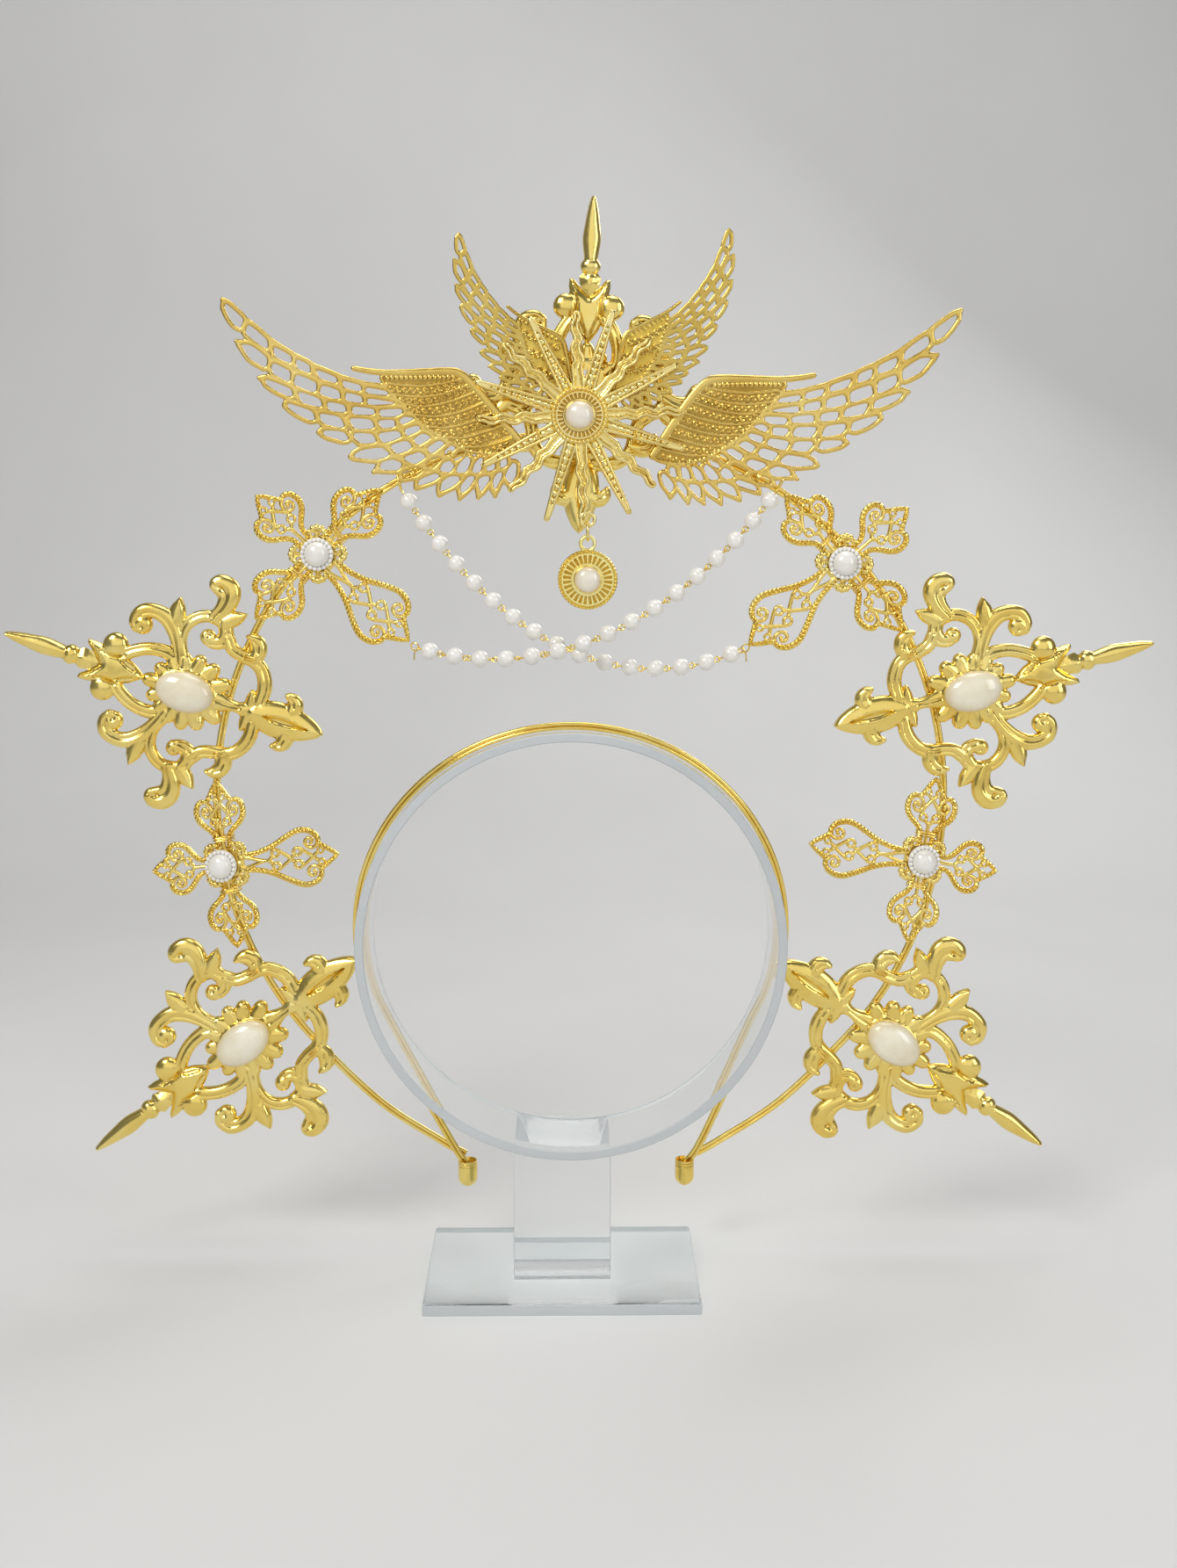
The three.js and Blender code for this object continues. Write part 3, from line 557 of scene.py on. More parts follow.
def noise(tree, scale, detail=3.0, rough=0.55):
    coord = tree.nodes.new("ShaderNodeTexCoord")
    tex = tree.nodes.new("ShaderNodeTexNoise")
    tex.inputs["Scale"].default_value = scale
    tex.inputs["Detail"].default_value = detail
    tex.inputs["Roughness"].default_value = rough
    tree.links.new(coord.outputs["Object"], tex.inputs["Vector"])
    return tex


def ramp(tree, source, stops):
    node = tree.nodes.new("ShaderNodeValToRGB")
    while len(node.color_ramp.elements) < len(stops):
        node.color_ramp.elements.new(0.5)
    for e, (pos, colour) in zip(node.color_ramp.elements, stops):
        e.position = pos
        e.color = (*colour, 1.0)
    tree.links.new(source, node.inputs["Fac"])
    return node


def spread(tree, source, low, high, start=0.3, end=0.7):
    node = tree.nodes.new("ShaderNodeMapRange")
    node.inputs["From Min"].default_value = start
    node.inputs["From Max"].default_value = end
    node.inputs["To Min"].default_value = low
    node.inputs["To Max"].default_value = high
    tree.links.new(source, node.inputs["Value"])
    return node


def gold(name, deep, plain, worn, rough, hammer, shade):
    """Plated brass: cloudy plating in tones from deep to worn, painted shade that darkens the hollows by their
    pointiness, and fine polishing marks.
    """
    mat, tree, shader = nodes_of(name)
    shader.inputs["Metallic"].default_value = 1.0
    cloud = noise(tree, 60.0, 4.0)
    tone = ramp(tree, cloud.outputs["Fac"], [(0.25, deep), (0.52, plain), (0.8, worn)])
    # painted shade: where the surface is concave (low pointiness) the colour is multiplied darker, as strongly as
    # shade says
    geo = tree.nodes.new("ShaderNodeNewGeometry")
    hollow = ramp(tree, geo.outputs["Pointiness"], [(0.38, (0.42, 0.29, 0.12)), (0.49, (1, 1, 1)), (0.56, (1, 1, 1))])
    mix = tree.nodes.new("ShaderNodeMix")
    mix.data_type = "RGBA"
    mix.blend_type = "MULTIPLY"
    mix.inputs["Factor"].default_value = shade
    tree.links.new(tone.outputs["Color"], mix.inputs["A"])
    tree.links.new(hollow.outputs["Color"], mix.inputs["B"])
    tree.links.new(mix.outputs["Result"], shader.inputs["Base Color"])
    wear = noise(tree, 240.0, 5.0, 0.6)
    tree.links.new(spread(tree, wear.outputs["Fac"], rough * 0.75, rough * 1.45).outputs["Result"], shader.inputs["Roughness"])
    grain = noise(tree, 900.0, 3.0)
    bump = tree.nodes.new("ShaderNodeBump")
    bump.inputs["Strength"].default_value = hammer
    bump.inputs["Distance"].default_value = 0.0002
    tree.links.new(grain.outputs["Fac"], bump.inputs["Height"])
    tree.links.new(bump.outputs["Normal"], shader.inputs["Normal"])
    return mat


def pearl(name, low, mid, high, rough, foot=None):
    """Imitation pearl: a softly clouded body under a clear glossy coat. foot is the depth in millimetres where a set
    pearl starts, the depth where it has its full colour, and the warm tone painted at the start, a painted reflection
    of its gold setting."""
    mat, tree, shader = nodes_of(name)
    cloud = noise(tree, 130.0, 3.0)
    tone = ramp(tree, cloud.outputs["Fac"], [(0.3, low), (0.5, mid), (0.72, high)])
    colour = tone.outputs["Color"]
    if foot:
        # painted reflection: near its base the pearl takes the warm tone of the gold setting, fading to its own colour
        # towards the front
        coord, split = tree.nodes.new("ShaderNodeTexCoord"), tree.nodes.new("ShaderNodeSeparateXYZ")
        tree.links.new(coord.outputs["Object"], split.inputs["Vector"])
        mix = tree.nodes.new("ShaderNodeMix")
        mix.data_type = "RGBA"
        mix.inputs["A"].default_value = (*foot[2], 1.0)
        tree.links.new(spread(tree, split.outputs["Y"], 0.0, 1.0, foot[0] * MM, foot[1] * MM).outputs["Result"], mix.inputs["Factor"])
        tree.links.new(colour, mix.inputs["B"])
        colour = mix.outputs["Result"]
    tree.links.new(colour, shader.inputs["Base Color"])
    skin = noise(tree, 500.0, 2.0)
    tree.links.new(spread(tree, skin.outputs["Fac"], rough * 0.8, rough * 1.3).outputs["Result"], shader.inputs["Roughness"])
    shader.inputs["Subsurface Weight"].default_value = 0.12
    shader.inputs["Subsurface Radius"].default_value = (0.004, 0.003, 0.002)
    shader.inputs["Subsurface Scale"].default_value = 0.3
    shader.inputs["Coat Weight"].default_value = 0.55
    shader.inputs["Coat Roughness"].default_value = 0.07
    shader.inputs["Specular IOR Level"].default_value = 0.7
    shader.inputs["Sheen Weight"].default_value = 0.08
    fine = noise(tree, 1500.0, 2.0)
    bump = tree.nodes.new("ShaderNodeBump")
    bump.inputs["Strength"].default_value = 0.04
    bump.inputs["Distance"].default_value = 0.0001
    tree.links.new(fine.outputs["Fac"], bump.inputs["Height"])
    tree.links.new(bump.outputs["Normal"], shader.inputs["Normal"])
    return mat


def acrylic(name, low, high, haze_low, haze_high, clear, bend, scuffs, shadow=(0.94, 0.955, 0.955)):
    """Cast acrylic with faint handling haze, which lets lamp light through to the floor."""
    mat, tree, shader = nodes_of(name)
    shader.inputs["Transmission Weight"].default_value = clear
    shader.inputs["IOR"].default_value = bend
    tint = noise(tree, 25.0, 2.0)
    tone = ramp(tree, tint.outputs["Fac"], [(0.3, low), (0.7, high)])
    tree.links.new(tone.outputs["Color"], shader.inputs["Base Color"])
    haze = noise(tree, 90.0, 6.0, 0.65)
    tree.links.new(spread(tree, haze.outputs["Fac"], haze_low, haze_high, 0.35, 0.75).outputs["Result"], shader.inputs["Roughness"])
    scuff = noise(tree, 320.0, 4.0)
    bump = tree.nodes.new("ShaderNodeBump")
    bump.inputs["Strength"].default_value = scuffs
    bump.inputs["Distance"].default_value = 0.0003
    tree.links.new(scuff.outputs["Fac"], bump.inputs["Height"])
    tree.links.new(bump.outputs["Normal"], shader.inputs["Normal"])
    lamps = tree.nodes.new("ShaderNodeLightPath")
    through = tree.nodes.new("ShaderNodeBsdfTransparent")
    through.inputs["Color"].default_value = (*shadow, 1.0)
    both = tree.nodes.new("ShaderNodeMixShader")
    out = next(n for n in tree.nodes if n.type == "OUTPUT_MATERIAL")
    tree.links.new(lamps.outputs["Is Shadow Ray"], both.inputs[0])
    tree.links.new(shader.outputs[0], both.inputs[1])
    tree.links.new(through.outputs[0], both.inputs[2])
    tree.links.new(both.outputs[0], out.inputs["Surface"])
    return mat


# the last number of each gold is how strongly painted shade darkens its hollows
YELLOW = gold("yellow_gold", (0.88, 0.61, 0.13), (0.95, 0.73, 0.21), (0.98, 0.83, 0.33), 0.19, 0.04, 0.9)
WARM = gold("warm_gold", (0.70, 0.455, 0.10), (0.81, 0.58, 0.155), (0.91, 0.715, 0.255), 0.25, 0.06, 0.8)
ANTIQUE = gold("deep_yellow_gold", (0.56, 0.375, 0.075), (0.66, 0.475, 0.12), (0.76, 0.60, 0.205), 0.24, 0.05, 0.9)
PALE = gold("pale_gold", (0.84, 0.64, 0.21), (0.935, 0.765, 0.30), (0.985, 0.875, 0.45), 0.22, 0.05, 0.9)
DROP_GOLD = gold("drop_gold", (0.965, 0.77, 0.24), (0.992, 0.87, 0.345), (0.998, 0.94, 0.52), 0.36, 0.05, 0.4)
# a darker gold on the sunk covert field of the large wings: painted shadow
WING_PAINTED_SHADOW = gold("wing_painted_shadow", (0.46, 0.285, 0.05), (0.56, 0.37, 0.08), (0.66, 0.47, 0.13), 0.40, 0.05, 0.5)
# a darker gold on the small wings' covert field and in the flutes of the sunburst hub and the medallion: painted shade
PAINTED_SHADE_GOLD = gold("painted_shade_gold", (0.68, 0.45, 0.07), (0.79, 0.56, 0.11), (0.88, 0.68, 0.18), 0.34, 0.05, 0.4)
PEARL = pearl("pearl", (0.84, 0.805, 0.74), (0.885, 0.86, 0.81), (0.92, 0.905, 0.875), 0.20)
# near its base each set pearl takes a warm tone, a painted reflection of its gold setting
CREAM = pearl("cream_pearl", (0.80, 0.71, 0.50), (0.86, 0.79, 0.60), (0.91, 0.865, 0.72), 0.18, (16.3, 12.6, (0.76, 0.59, 0.28)))
SUN_SKIN = pearl("sunburst_pearl_skin", (0.85, 0.785, 0.65), (0.89, 0.835, 0.72), (0.92, 0.89, 0.82), 0.18, (9.7, 6.6, (0.78, 0.56, 0.24)))
DROP_SKIN = pearl("drop_pearl_skin", (0.85, 0.785, 0.65), (0.89, 0.835, 0.72), (0.92, 0.89, 0.82), 0.18, (10.6, 8.0, (0.78, 0.56, 0.24)))
LACE = pearl("pearl_lace", (0.84, 0.81, 0.75), (0.90, 0.88, 0.83), (0.94, 0.93, 0.90), 0.36)
ACRYLIC = acrylic("clear_acrylic", (0.93, 0.95, 0.955), (0.965, 0.975, 0.975), 0.008, 0.025, 0.96, 1.49, 0.012)
ACRYLIC_EDGE = acrylic("acrylic_cut_edge", (0.57, 0.60, 0.615), (0.63, 0.655, 0.67), 0.38, 0.46, 0.22, 1.49, 0.004)
ACRYLIC_BASE = acrylic("acrylic_base", (0.86, 0.88, 0.885), (0.885, 0.90, 0.905), 0.01, 0.03, 0.97, 1.14, 0.006, (0.88, 0.895, 0.90))


# ------------------------------------------------------------------ baroque stampings
# Ribbons of the right half: name, section, edge height, rise, rows of u, v and half width.
SCROLLS = [
    ("lens_arc", "scroll", 0.8, 1.9, [(3.6, 25.4, 1.9), (6.8, 22.2, 2.3), (9.3, 18.0, 2.3), (10.5, 13.8, 2.3), (10.5, 9.5, 2.4), (8.6, 5.4, 2.4)]),
    ("upper_scroll", "scroll", 0.8, 2.1, [(9.0, 5.2, 1.8), (14.0, 7.3, 2.2), (18.6, 10.0, 2.7), (21.9, 13.8, 2.8), (22.8, 18.0, 2.6), (21.5, 22.0, 2.6), (18.2, 23.6, 2.3), (15.8, 22.6, 1.9)]),
    ("bud", "round", 0.8, 2.0, [(21.6, 10.4, 3.0), (25.2, 10.9, 2.8), (27.9, 11.1, 1.5), (29.8, 11.3, 0.4)]),
    ("lower_arc", "scroll", 0.8, 1.8, [(10.6, 3.8, 1.5), (15.0, 6.2, 1.6), (19.0, 6.9, 1.8), (22.6, 6.0, 2.1), (25.3, 3.6, 2.2), (26.7, 0.6, 2.2), (26.8, -2.6, 2.3), (25.8, -5.8, 2.4)]),
    ("inner_curl", "scroll", 0.8, 1.9, [(26.2, -5.6, 2.4), (22.6, -7.0, 2.6), (19.6, -6.2, 2.5), (18.6, -3.6, 2.2), (19.0, -1.4, 1.9)]),
    ("outer_curl", "scroll", 0.8, 2.3, [(26.8, -1.6, 2.2), (30.6, -3.7, 3.0), (34.4, -4.4, 3.7), (37.1, -3.2, 4.2), (38.1, -0.8, 3.8), (38.0, 0.6, 3.0)]),
    ("lower_leaf", "round", 0.8, 1.9, [(26.4, -5.8, 2.6), (28.5, -8.3, 2.6), (30.1, -10.4, 1.4), (31.2, -11.8, 0.4)]),
    ("connector", "scroll", 0.8, 1.9, [(21.5, -8.2, 2.3), (18.6, -10.6, 2.3), (17.3, -14.5, 2.3), (16.8, -18.5, 2.4), (15.0, -21.8, 2.4), (11.6, -24.1, 2.5), (8.0, -25.0, 2.5), (4.0, -24.8, 2.2)]),
    ("hook", "round", 0.8, 2.1, [(17.0, -18.6, 2.5), (20.4, -19.3, 2.8), (22.9, -18.2, 2.7), (24.1, -16.2, 1.7), (24.2, -14.4, 0.8)]),
    ("fleur_cap", "round", 0.8, 1.7, [(6.6, -21.4, 0.9), (3.8, -21.8, 2.0), (0.0, -22.6, 2.6)]),
    ("fleur_hook", "round", 0.8, 2.0, [(3.8, -36.4, 3.0), (6.6, -36.6, 2.8), (8.4, -35.2, 2.0), (9.0, -33.2, 1.0)]),
]
AXIAL = [
    ("arm", "round", 0.8, 2.0, [(0, -9.0, 3.6), (0, -12.0, 3.3), (0, -15.0, 2.3), (0, -18.0, 1.9), (0, -20.5, 2.6)]),
    ("fleur_blade", "round", 0.7, 2.4, [(0, -25.0, 3.8), (0, -28.5, 5.4), (0, -31.5, 6.2), (0, -35.0, 6.2), (0, -38.5, 5.4), (0, -41.5, 4.4), (0, -44.5, 3.0), (0, -46.8, 1.5), (0, -48.4, 0.2)]),
    ("spike", "round", 0.7, 2.3, [(0, 63.5, 0.9), (0, 60.0, 1.75), (0, 55.0, 2.5), (0, 50.5, 3.05), (0, 47.0, 2.75), (0, 43.6, 2.25)]),
]
# The crown under the spike, its right half: two pointed leaves parted in a V, drawn out to one point below.
CROWN_LEAF = [(0.0, 31.0), (2.6, 33.2), (5.4, 36.6), (6.9, 36.9), (7.0, 34.2), (6.5, 31.0), (5.9, 27.6), (5.0, 24.4), (4.3, 21.6), (3.4, 19.4), (1.7, 16.9), (0.0, 15.0)]
# The bud that stands in the V.
CROWN_BUD = [(0.0, 41.0), (1.9, 39.4), (3.7, 37.3), (3.2, 34.6), (1.7, 32.2), (0.0, 30.2)]
# Petals round the pearl: degrees from the top, reach of the tip from the middle, half width.
PETALS = [(0, 14.8, 2.6), (24, 12.8, 2.5), (47, 12.1, 2.5), (72, 12.1, 2.6), (97, 12.7, 2.7), (124, 12.9, 2.9), (153, 14.4, 2.8)]


def baroque_relief():
    plate = Relief(-44, 44, -50, 66, 0.36)
    for side in (1, -1):
        for name, section, edge, rise, rows in SCROLLS:
            plate.stroke([(u * side, v, h) for u, v, h in rows], edge, rise, section, per=7, hand=side)
        for deg, reach, half in PETALS:
            t = rad(deg)
            su, sv = math.sin(t) * side, math.cos(t)
            root = 1 / math.hypot(math.sin(t) / 6.0, math.cos(t) / 9.0)
            mid, late = root + (reach - root) * 0.45, root + (reach - root) * 0.78
            plate.stroke([(su * root, sv * root, half), (su * mid, sv * mid, half), (su * late, sv * late, half * 0.86), (su * (reach - 0.9), sv * (reach - 0.9), 0.95)], 0.9, 1.9, "round", per=5, blend=0.25)
        plate.ball(17.2 * side, 20.8, 3.4, 0.8, 2.3)
        plate.ball(19.9 * side, -1.5, 2.75, 0.8, 2.2)
        plate.ball(7.7 * side, 27.5, 4.3, 0.8, 2.35)
    for name, section, edge, rise, rows in AXIAL:
        plate.stroke(rows, edge, rise, section, per=7)
    bud = CROWN_BUD + [(-u, v) for u, v in CROWN_BUD[-2:0:-1]]
    win, deep = plate.signed(bud, 2.0)
    plate.put(win, deep, 0.8 + 0.62 * np.clip(deep, 0, 2.6), 0.3)
    leaf = CROWN_LEAF + [(-u, v) for u, v in CROWN_LEAF[-2:0:-1]]
    win, deep = plate.signed(leaf, 2.0)
    plate.put(win, deep, 0.9 + 2.2 * np.sin(np.clip(deep / 3.0, 0, 1) * math.pi / 2) ** 0.8, 0.3)
    plate.ball(0, 41.0, 3.4, 0.8, 2.4, oval=0.86)
    plate.ball(0, -24.2, 2.6, 0.8, 2.4, oval=1.15)
    # the seat of the pearl
    seat = np.clip(1.12 - np.hypot(plate.U / 7.2, plate.V / 10.3), 0, 1)
    plate.front = np.where(seat > 0, np.maximum(plate.front, 1.6 + 1.5 * np.clip(seat / 0.16, 0, 1)), plate.front)
    for side in (1, -1):
        plate.dimple(16.4 * side, 21.0, 0.9, 1.0)
        plate.dimple(20.6 * side, -1.7, 0.8, 0.9)
        plate.dimple(37.0 * side, -0.9, 1.0, 0.7)
        plate.groove([(3.3 * side, 23.6, 0.6), (2.2 * side, 21.2, 0.95), (1.2 * side, 18.6, 0.6)], 0.7)
        plate.groove([(4.7 * side, 31.6, 0.6), (4.1 * side, 28.4, 0.9), (4.4 * side, 25.2, 0.9), (5.3 * side, 23.2, 0.6)], 0.7)
        plate.groove([(19.8 * side, -19.4, 0.6), (22.2 * side, -18.7, 0.9), (23.6 * side, -16.8, 0.6)], 0.55)
        plate.groove([(5.8 * side, -36.4, 0.6), (7.8 * side, -35.6, 0.8), (8.7 * side, -33.8, 0.5)], 0.5)
    plate.groove([(0, -27.8, 0.5), (0, -30.5, 1.2), (0, -34.0, 1.7), (0, -38.5, 1.2), (0, -43.0, 0.4)], 1.15)
    plate.groove([(0, -10.5, 0.7), (0, -14.0, 0.9), (0, -19.0, 0.6)], 0.6)
    plate.front = np.clip(plate.front, 0.45, 3.15)
    return plate.solid(shell=0.85)


BAROQUE = thinned(*baroque_relief(), 0.64)
for name, (x, z, turn, held) in BAROQUES.items():
    shape = Shape().add(facing(BAROQUE[0], x, BAROQUE_BACK, z, turn), BAROQUE[1])
    piece("baroque_stamping_" + name, shape, [YELLOW], replaces=["baroque_plate_" + name])


def cabochon(r, height, sides, rings, scale=(1.0, 1.0), foot=0.9):
    rows = [(0.0, 0.0), (r * 0.86, 0.0), (r * 0.97, foot * 0.45)]
    for i in range(rings + 1):
        a = i / rings * math.pi / 2
        rows.append((r * math.cos(a) if i < rings else 0.0, foot + (height - foot) * math.sin(a)))
    return lathe(rows, sides, scale)


for name, (x, z, turn, held) in BAROQUES.items():
    if not held:
        continue
    verts, faces = cabochon(1.0, 5.2, 64, 18, (6.9, 10.0))
    verts[:, 2] += 3.2 + GAP
    shape = Shape().add(facing(verts, x, BAROQUE_BACK, z, turn), faces)
    # a thin bezel of gold under the pearl's edge
    path = ring_path((0, 0, 3.42), (1, 0, 0), (0, 1, 0), 6.75, 9.85, 96)
    v, f = tube(path, 0.42, 8, closed=True)
    shape.add(facing(v, x, BAROQUE_BACK, z, turn), f, 1)
    piece("oval_cabochon_" + name, shape, [CREAM, YELLOW], replaces=["oval_pearl_" + name])


# ------------------------------------------------------------------ filigree crosses
# One arm's wires on its right half: kind, rows of half width from the axis, distance from the middle, half wire width.
SHORT_ARM = [
    ("rope", [(2.3, 5.5, 0.85), (2.2, 9.0, 0.9), (3.0, 11.2, 0.95), (4.8, 13.2, 1.0), (7.0, 15.1, 1.02), (8.5, 17.3, 1.05), (8.9, 19.8, 1.05), (8.3, 22.1, 1.02), (6.7, 23.5, 0.98), (5.0, 23.3, 0.88)]),
    ("rope", [(4.3, 23.8, 0.88), (3.1, 25.5, 0.88), (1.6, 28.2, 0.82), (0.0, 30.3, 0.6)]),
    ("wire", [(5.0, 23.2, 0.7), (3.6, 21.9, 0.68), (3.1, 20.0, 0.66), (3.8, 18.3, 0.66), (5.4, 17.9, 0.66), (6.5, 19.2, 0.64), (6.2, 20.7, 0.64), (5.1, 20.9, 0.66), (4.85, 19.9, 0.74)]),
    ("wire", [(0.0, 22.6, 0.7), (1.4, 20.8, 0.66), (2.8, 18.7, 0.66), (3.3, 16.9, 0.62)]),
    ("wire", [(0.0, 22.4, 0.68), (0.95, 23.5, 0.66), (2.0, 24.8, 0.66)]),
    ("wire", [(0.0, 13.3, 0.7), (1.0, 14.1, 0.68), (2.25, 15.3, 0.66)]),
]
SHORT_RINGS = [(2.4, 15.7, 1.75, 0.74), (2.0, 25.1, 1.42, 0.62)]
LONG_ARM = [
    ("rope", [(2.9, 5.5, 0.85), (2.9, 9.0, 0.9), (3.3, 12.5, 0.95), (4.9, 17.6, 1.0), (7.6, 23.0, 1.05), (9.6, 27.4, 1.08), (10.0, 30.4, 1.08), (9.0, 33.6, 1.05), (6.8, 35.5, 1.0), (4.8, 35.6, 0.9)]),
    ("rope", [(4.4, 36.0, 0.9), (3.1, 38.0, 0.88), (1.5, 40.4, 0.82), (0.0, 42.3, 0.6)]),
    ("wire", [(2.0, 5.5, 0.69), (1.6, 8.8, 0.69), (0.7, 11.8, 0.64), (0.0, 14.4, 0.66)]),
    ("wire", [(0.0, 14.0, 0.64), (0.0, 16.6, 0.64)]),
    ("wire", [(0.0, 16.4, 0.68), (1.0, 17.3, 0.68), (2.2, 18.6, 0.66)]),
    ("wire", [(3.4, 20.1, 0.66), (1.9, 22.3, 0.66), (0.0, 25.0, 0.69)]),
    ("wire", [(0.0, 24.7, 0.68), (1.2, 26.0, 0.66), (2.3, 27.2, 0.66)]),
    ("wire", [(3.2, 28.8, 0.64), (1.9, 30.6, 0.64), (0.0, 33.2, 0.69)]),
    ("wire", [(0.0, 32.9, 0.68), (1.2, 34.6, 0.66), (2.0, 36.0, 0.66)]),
    ("wire", [(4.8, 35.5, 0.69), (3.6, 34.2, 0.68), (3.4, 32.4, 0.66), (4.5, 30.9, 0.64), (6.1, 30.9, 0.64), (6.9, 32.2, 0.64), (6.2, 33.4, 0.64), (5.1, 32.9, 0.69)]),
]
LONG_RINGS = [(2.4, 19.0, 1.85, 0.78), (2.35, 27.4, 1.95, 0.84), (2.05, 36.2, 1.45, 0.62)]


def cross_relief():
    plate = Relief(-32, 32, -46, 32, 0.22)
    plate.ball(0, 0, 6.9, 0.6, 0.3, "flat", blend=0.2)
    for k in range(4):
        # a scalloped corner between two arms
        for deg, far in ((27, 7.9), (36, 8.8), (45, 9.1), (54, 8.8), (63, 7.9)):
            t = rad(deg + 90 * k)
            plate.stroke([(4.0 * math.cos(t), 4.0 * math.sin(t), 0.75), (far * math.cos(t), far * math.sin(t), 0.75)], 0.6, 0.2, "flat", per=3, blend=0.2)
            plate.ball(far * math.cos(t), far * math.sin(t), 1.12, 0.62, 0.85, blend=0.15)
    # the arm at the top is a little shorter than those at the sides
    for k, (arm, rings, stem, long) in enumerate([(SHORT_ARM, SHORT_RINGS, 13.4, 0.93), (SHORT_ARM, SHORT_RINGS, 13.4, 1.0), (LONG_ARM, LONG_RINGS, 5.5, 1.0), (SHORT_ARM, SHORT_RINGS, 13.4, 1.0)]):
        c, s = round(math.cos(k * math.pi / 2)), round(math.sin(k * math.pi / 2))

        def at(a, b):
            return a * c + b * long * s, b * long * c - a * s

        for side in (1, -1):
            for kind, rows in arm:
                turned = [(*at(a * side, b), h) for a, b, h in rows]
                if kind == "rope":
                    plate.stroke(turned, 0.62, 0.88, "round", per=8, rope=1.5, blend=0.2)
                else:
                    plate.stroke(turned, 0.6, 0.62, "round", per=6, blend=0.15)
        plate.stroke([(*at(0, 4.0), 0.65), (*at(0, stem), 0.62)], 0.6, 0.6, "round", per=4, blend=0.15)
        for a, b, r, hole in rings:
            for side in (1, -1):
                plate.ringlet(*at(a * side, b), r, 0.62, 0.8, hole)
    # small holes round the seat of the pearl
    for k in range(4):
        for deg in (33, 57):
            t = rad(deg + 90 * k)
            plate.ringlet(6.9 * math.cos(t), 6.9 * math.sin(t), 1.15, 0.62, 0.6, 0.5)
    plate.front = np.clip(plate.front, 0.4, 1.5)
    return plate.solid()


CROSS = thinned(*cross_relief(), 0.72)
for name, (x, z, turn, yaw, lift, scale, spot) in CROSSES.items():
    verts = CROSS[0] * np.array([scale, scale, 1.0])
    shape = Shape().add(facing(verts, x, CROSS_BACK - lift, z, turn, yaw), CROSS[1])
    piece("filigree_" + name, shape, [YELLOW], replaces=["filigree_cross_" + name])

    # the pearl and its lacy rim: a ring of small beads between two fine rims
    shape = Shape()
    base = 1.5 + GAP

    def on_plate(v):
        v = np.asarray(v, float) + np.array([spot[0], spot[1], base])
        return facing(v, x, CROSS_BACK - lift, z, turn, yaw)

    v, f = cabochon(4.25, 4.6, 48, 14, foot=1.3)
    shape.add(on_plate(v), f, 0)
    v, f = lathe([(0, 0), (5.35, 0.0), (5.5, 0.3), (5.3, 0.75), (4.6, 1.05), (0, 1.05)], 48)
    shape.add(on_plate(v), f, 1)
    for i in range(20):
        t = 2 * math.pi * i / 20
        v, f = lathe([(0, -0.74)] + [(0.82 * math.sin(a), -0.74 * math.cos(a)) for a in np.linspace(0, math.pi, 8)[1:-1]] + [(0, 0.74)], 10)
        shape.add(on_plate(v + np.array([4.9 * math.cos(t), 4.9 * math.sin(t), 1.25])), f, 1)
    piece("lace_pearl_" + name, shape, [PEARL, LACE], replaces=["round_pearl_" + name])


# ------------------------------------------------------------------ wings
SHOULDER_BAR = [(-8, 15, 0.9), (-3, 14.1, 1.0), (4, 13.5, 1.1), (14, 13.7, 1.25), (24, 14.0, 1.4), (28, 13.2, 1.5), (31.8, 10.2, 1.5), (37.8, 3.2, 1.5), (43.8, -4.2, 1.4), (49.4, -10.7, 1.15)]
LEADING_EDGE = [(-52.2, 38.1, 0.8), (-49.4, 36.0, 0.9), (-45.0, 31.9, 0.9), (-40.0, 27.6, 0.9), (-36.0, 24.5, 0.9), (-30.0, 20.5, 0.9), (-21.6, 15.9, 0.9), (-13.0, 12.3, 0.9), (-5.0, 9.9, 0.9), (4.0, 8.9, 0.8)]
COVERT = [(1, 12.9), (2.6, 9.6), (4.4, 6.6), (8.2, 3.4), (11.5, 0.0), (15.5, -4.0), (20, -7.2), (25, -10.2), (30, -12.6), (36, -13.8), (42, -13.8), (47, -12.6), (49.4, -10.6), (44, -4), (38, 3.4), (32, 10.4), (28, 13.4), (24, 14.1), (12, 13.6)]
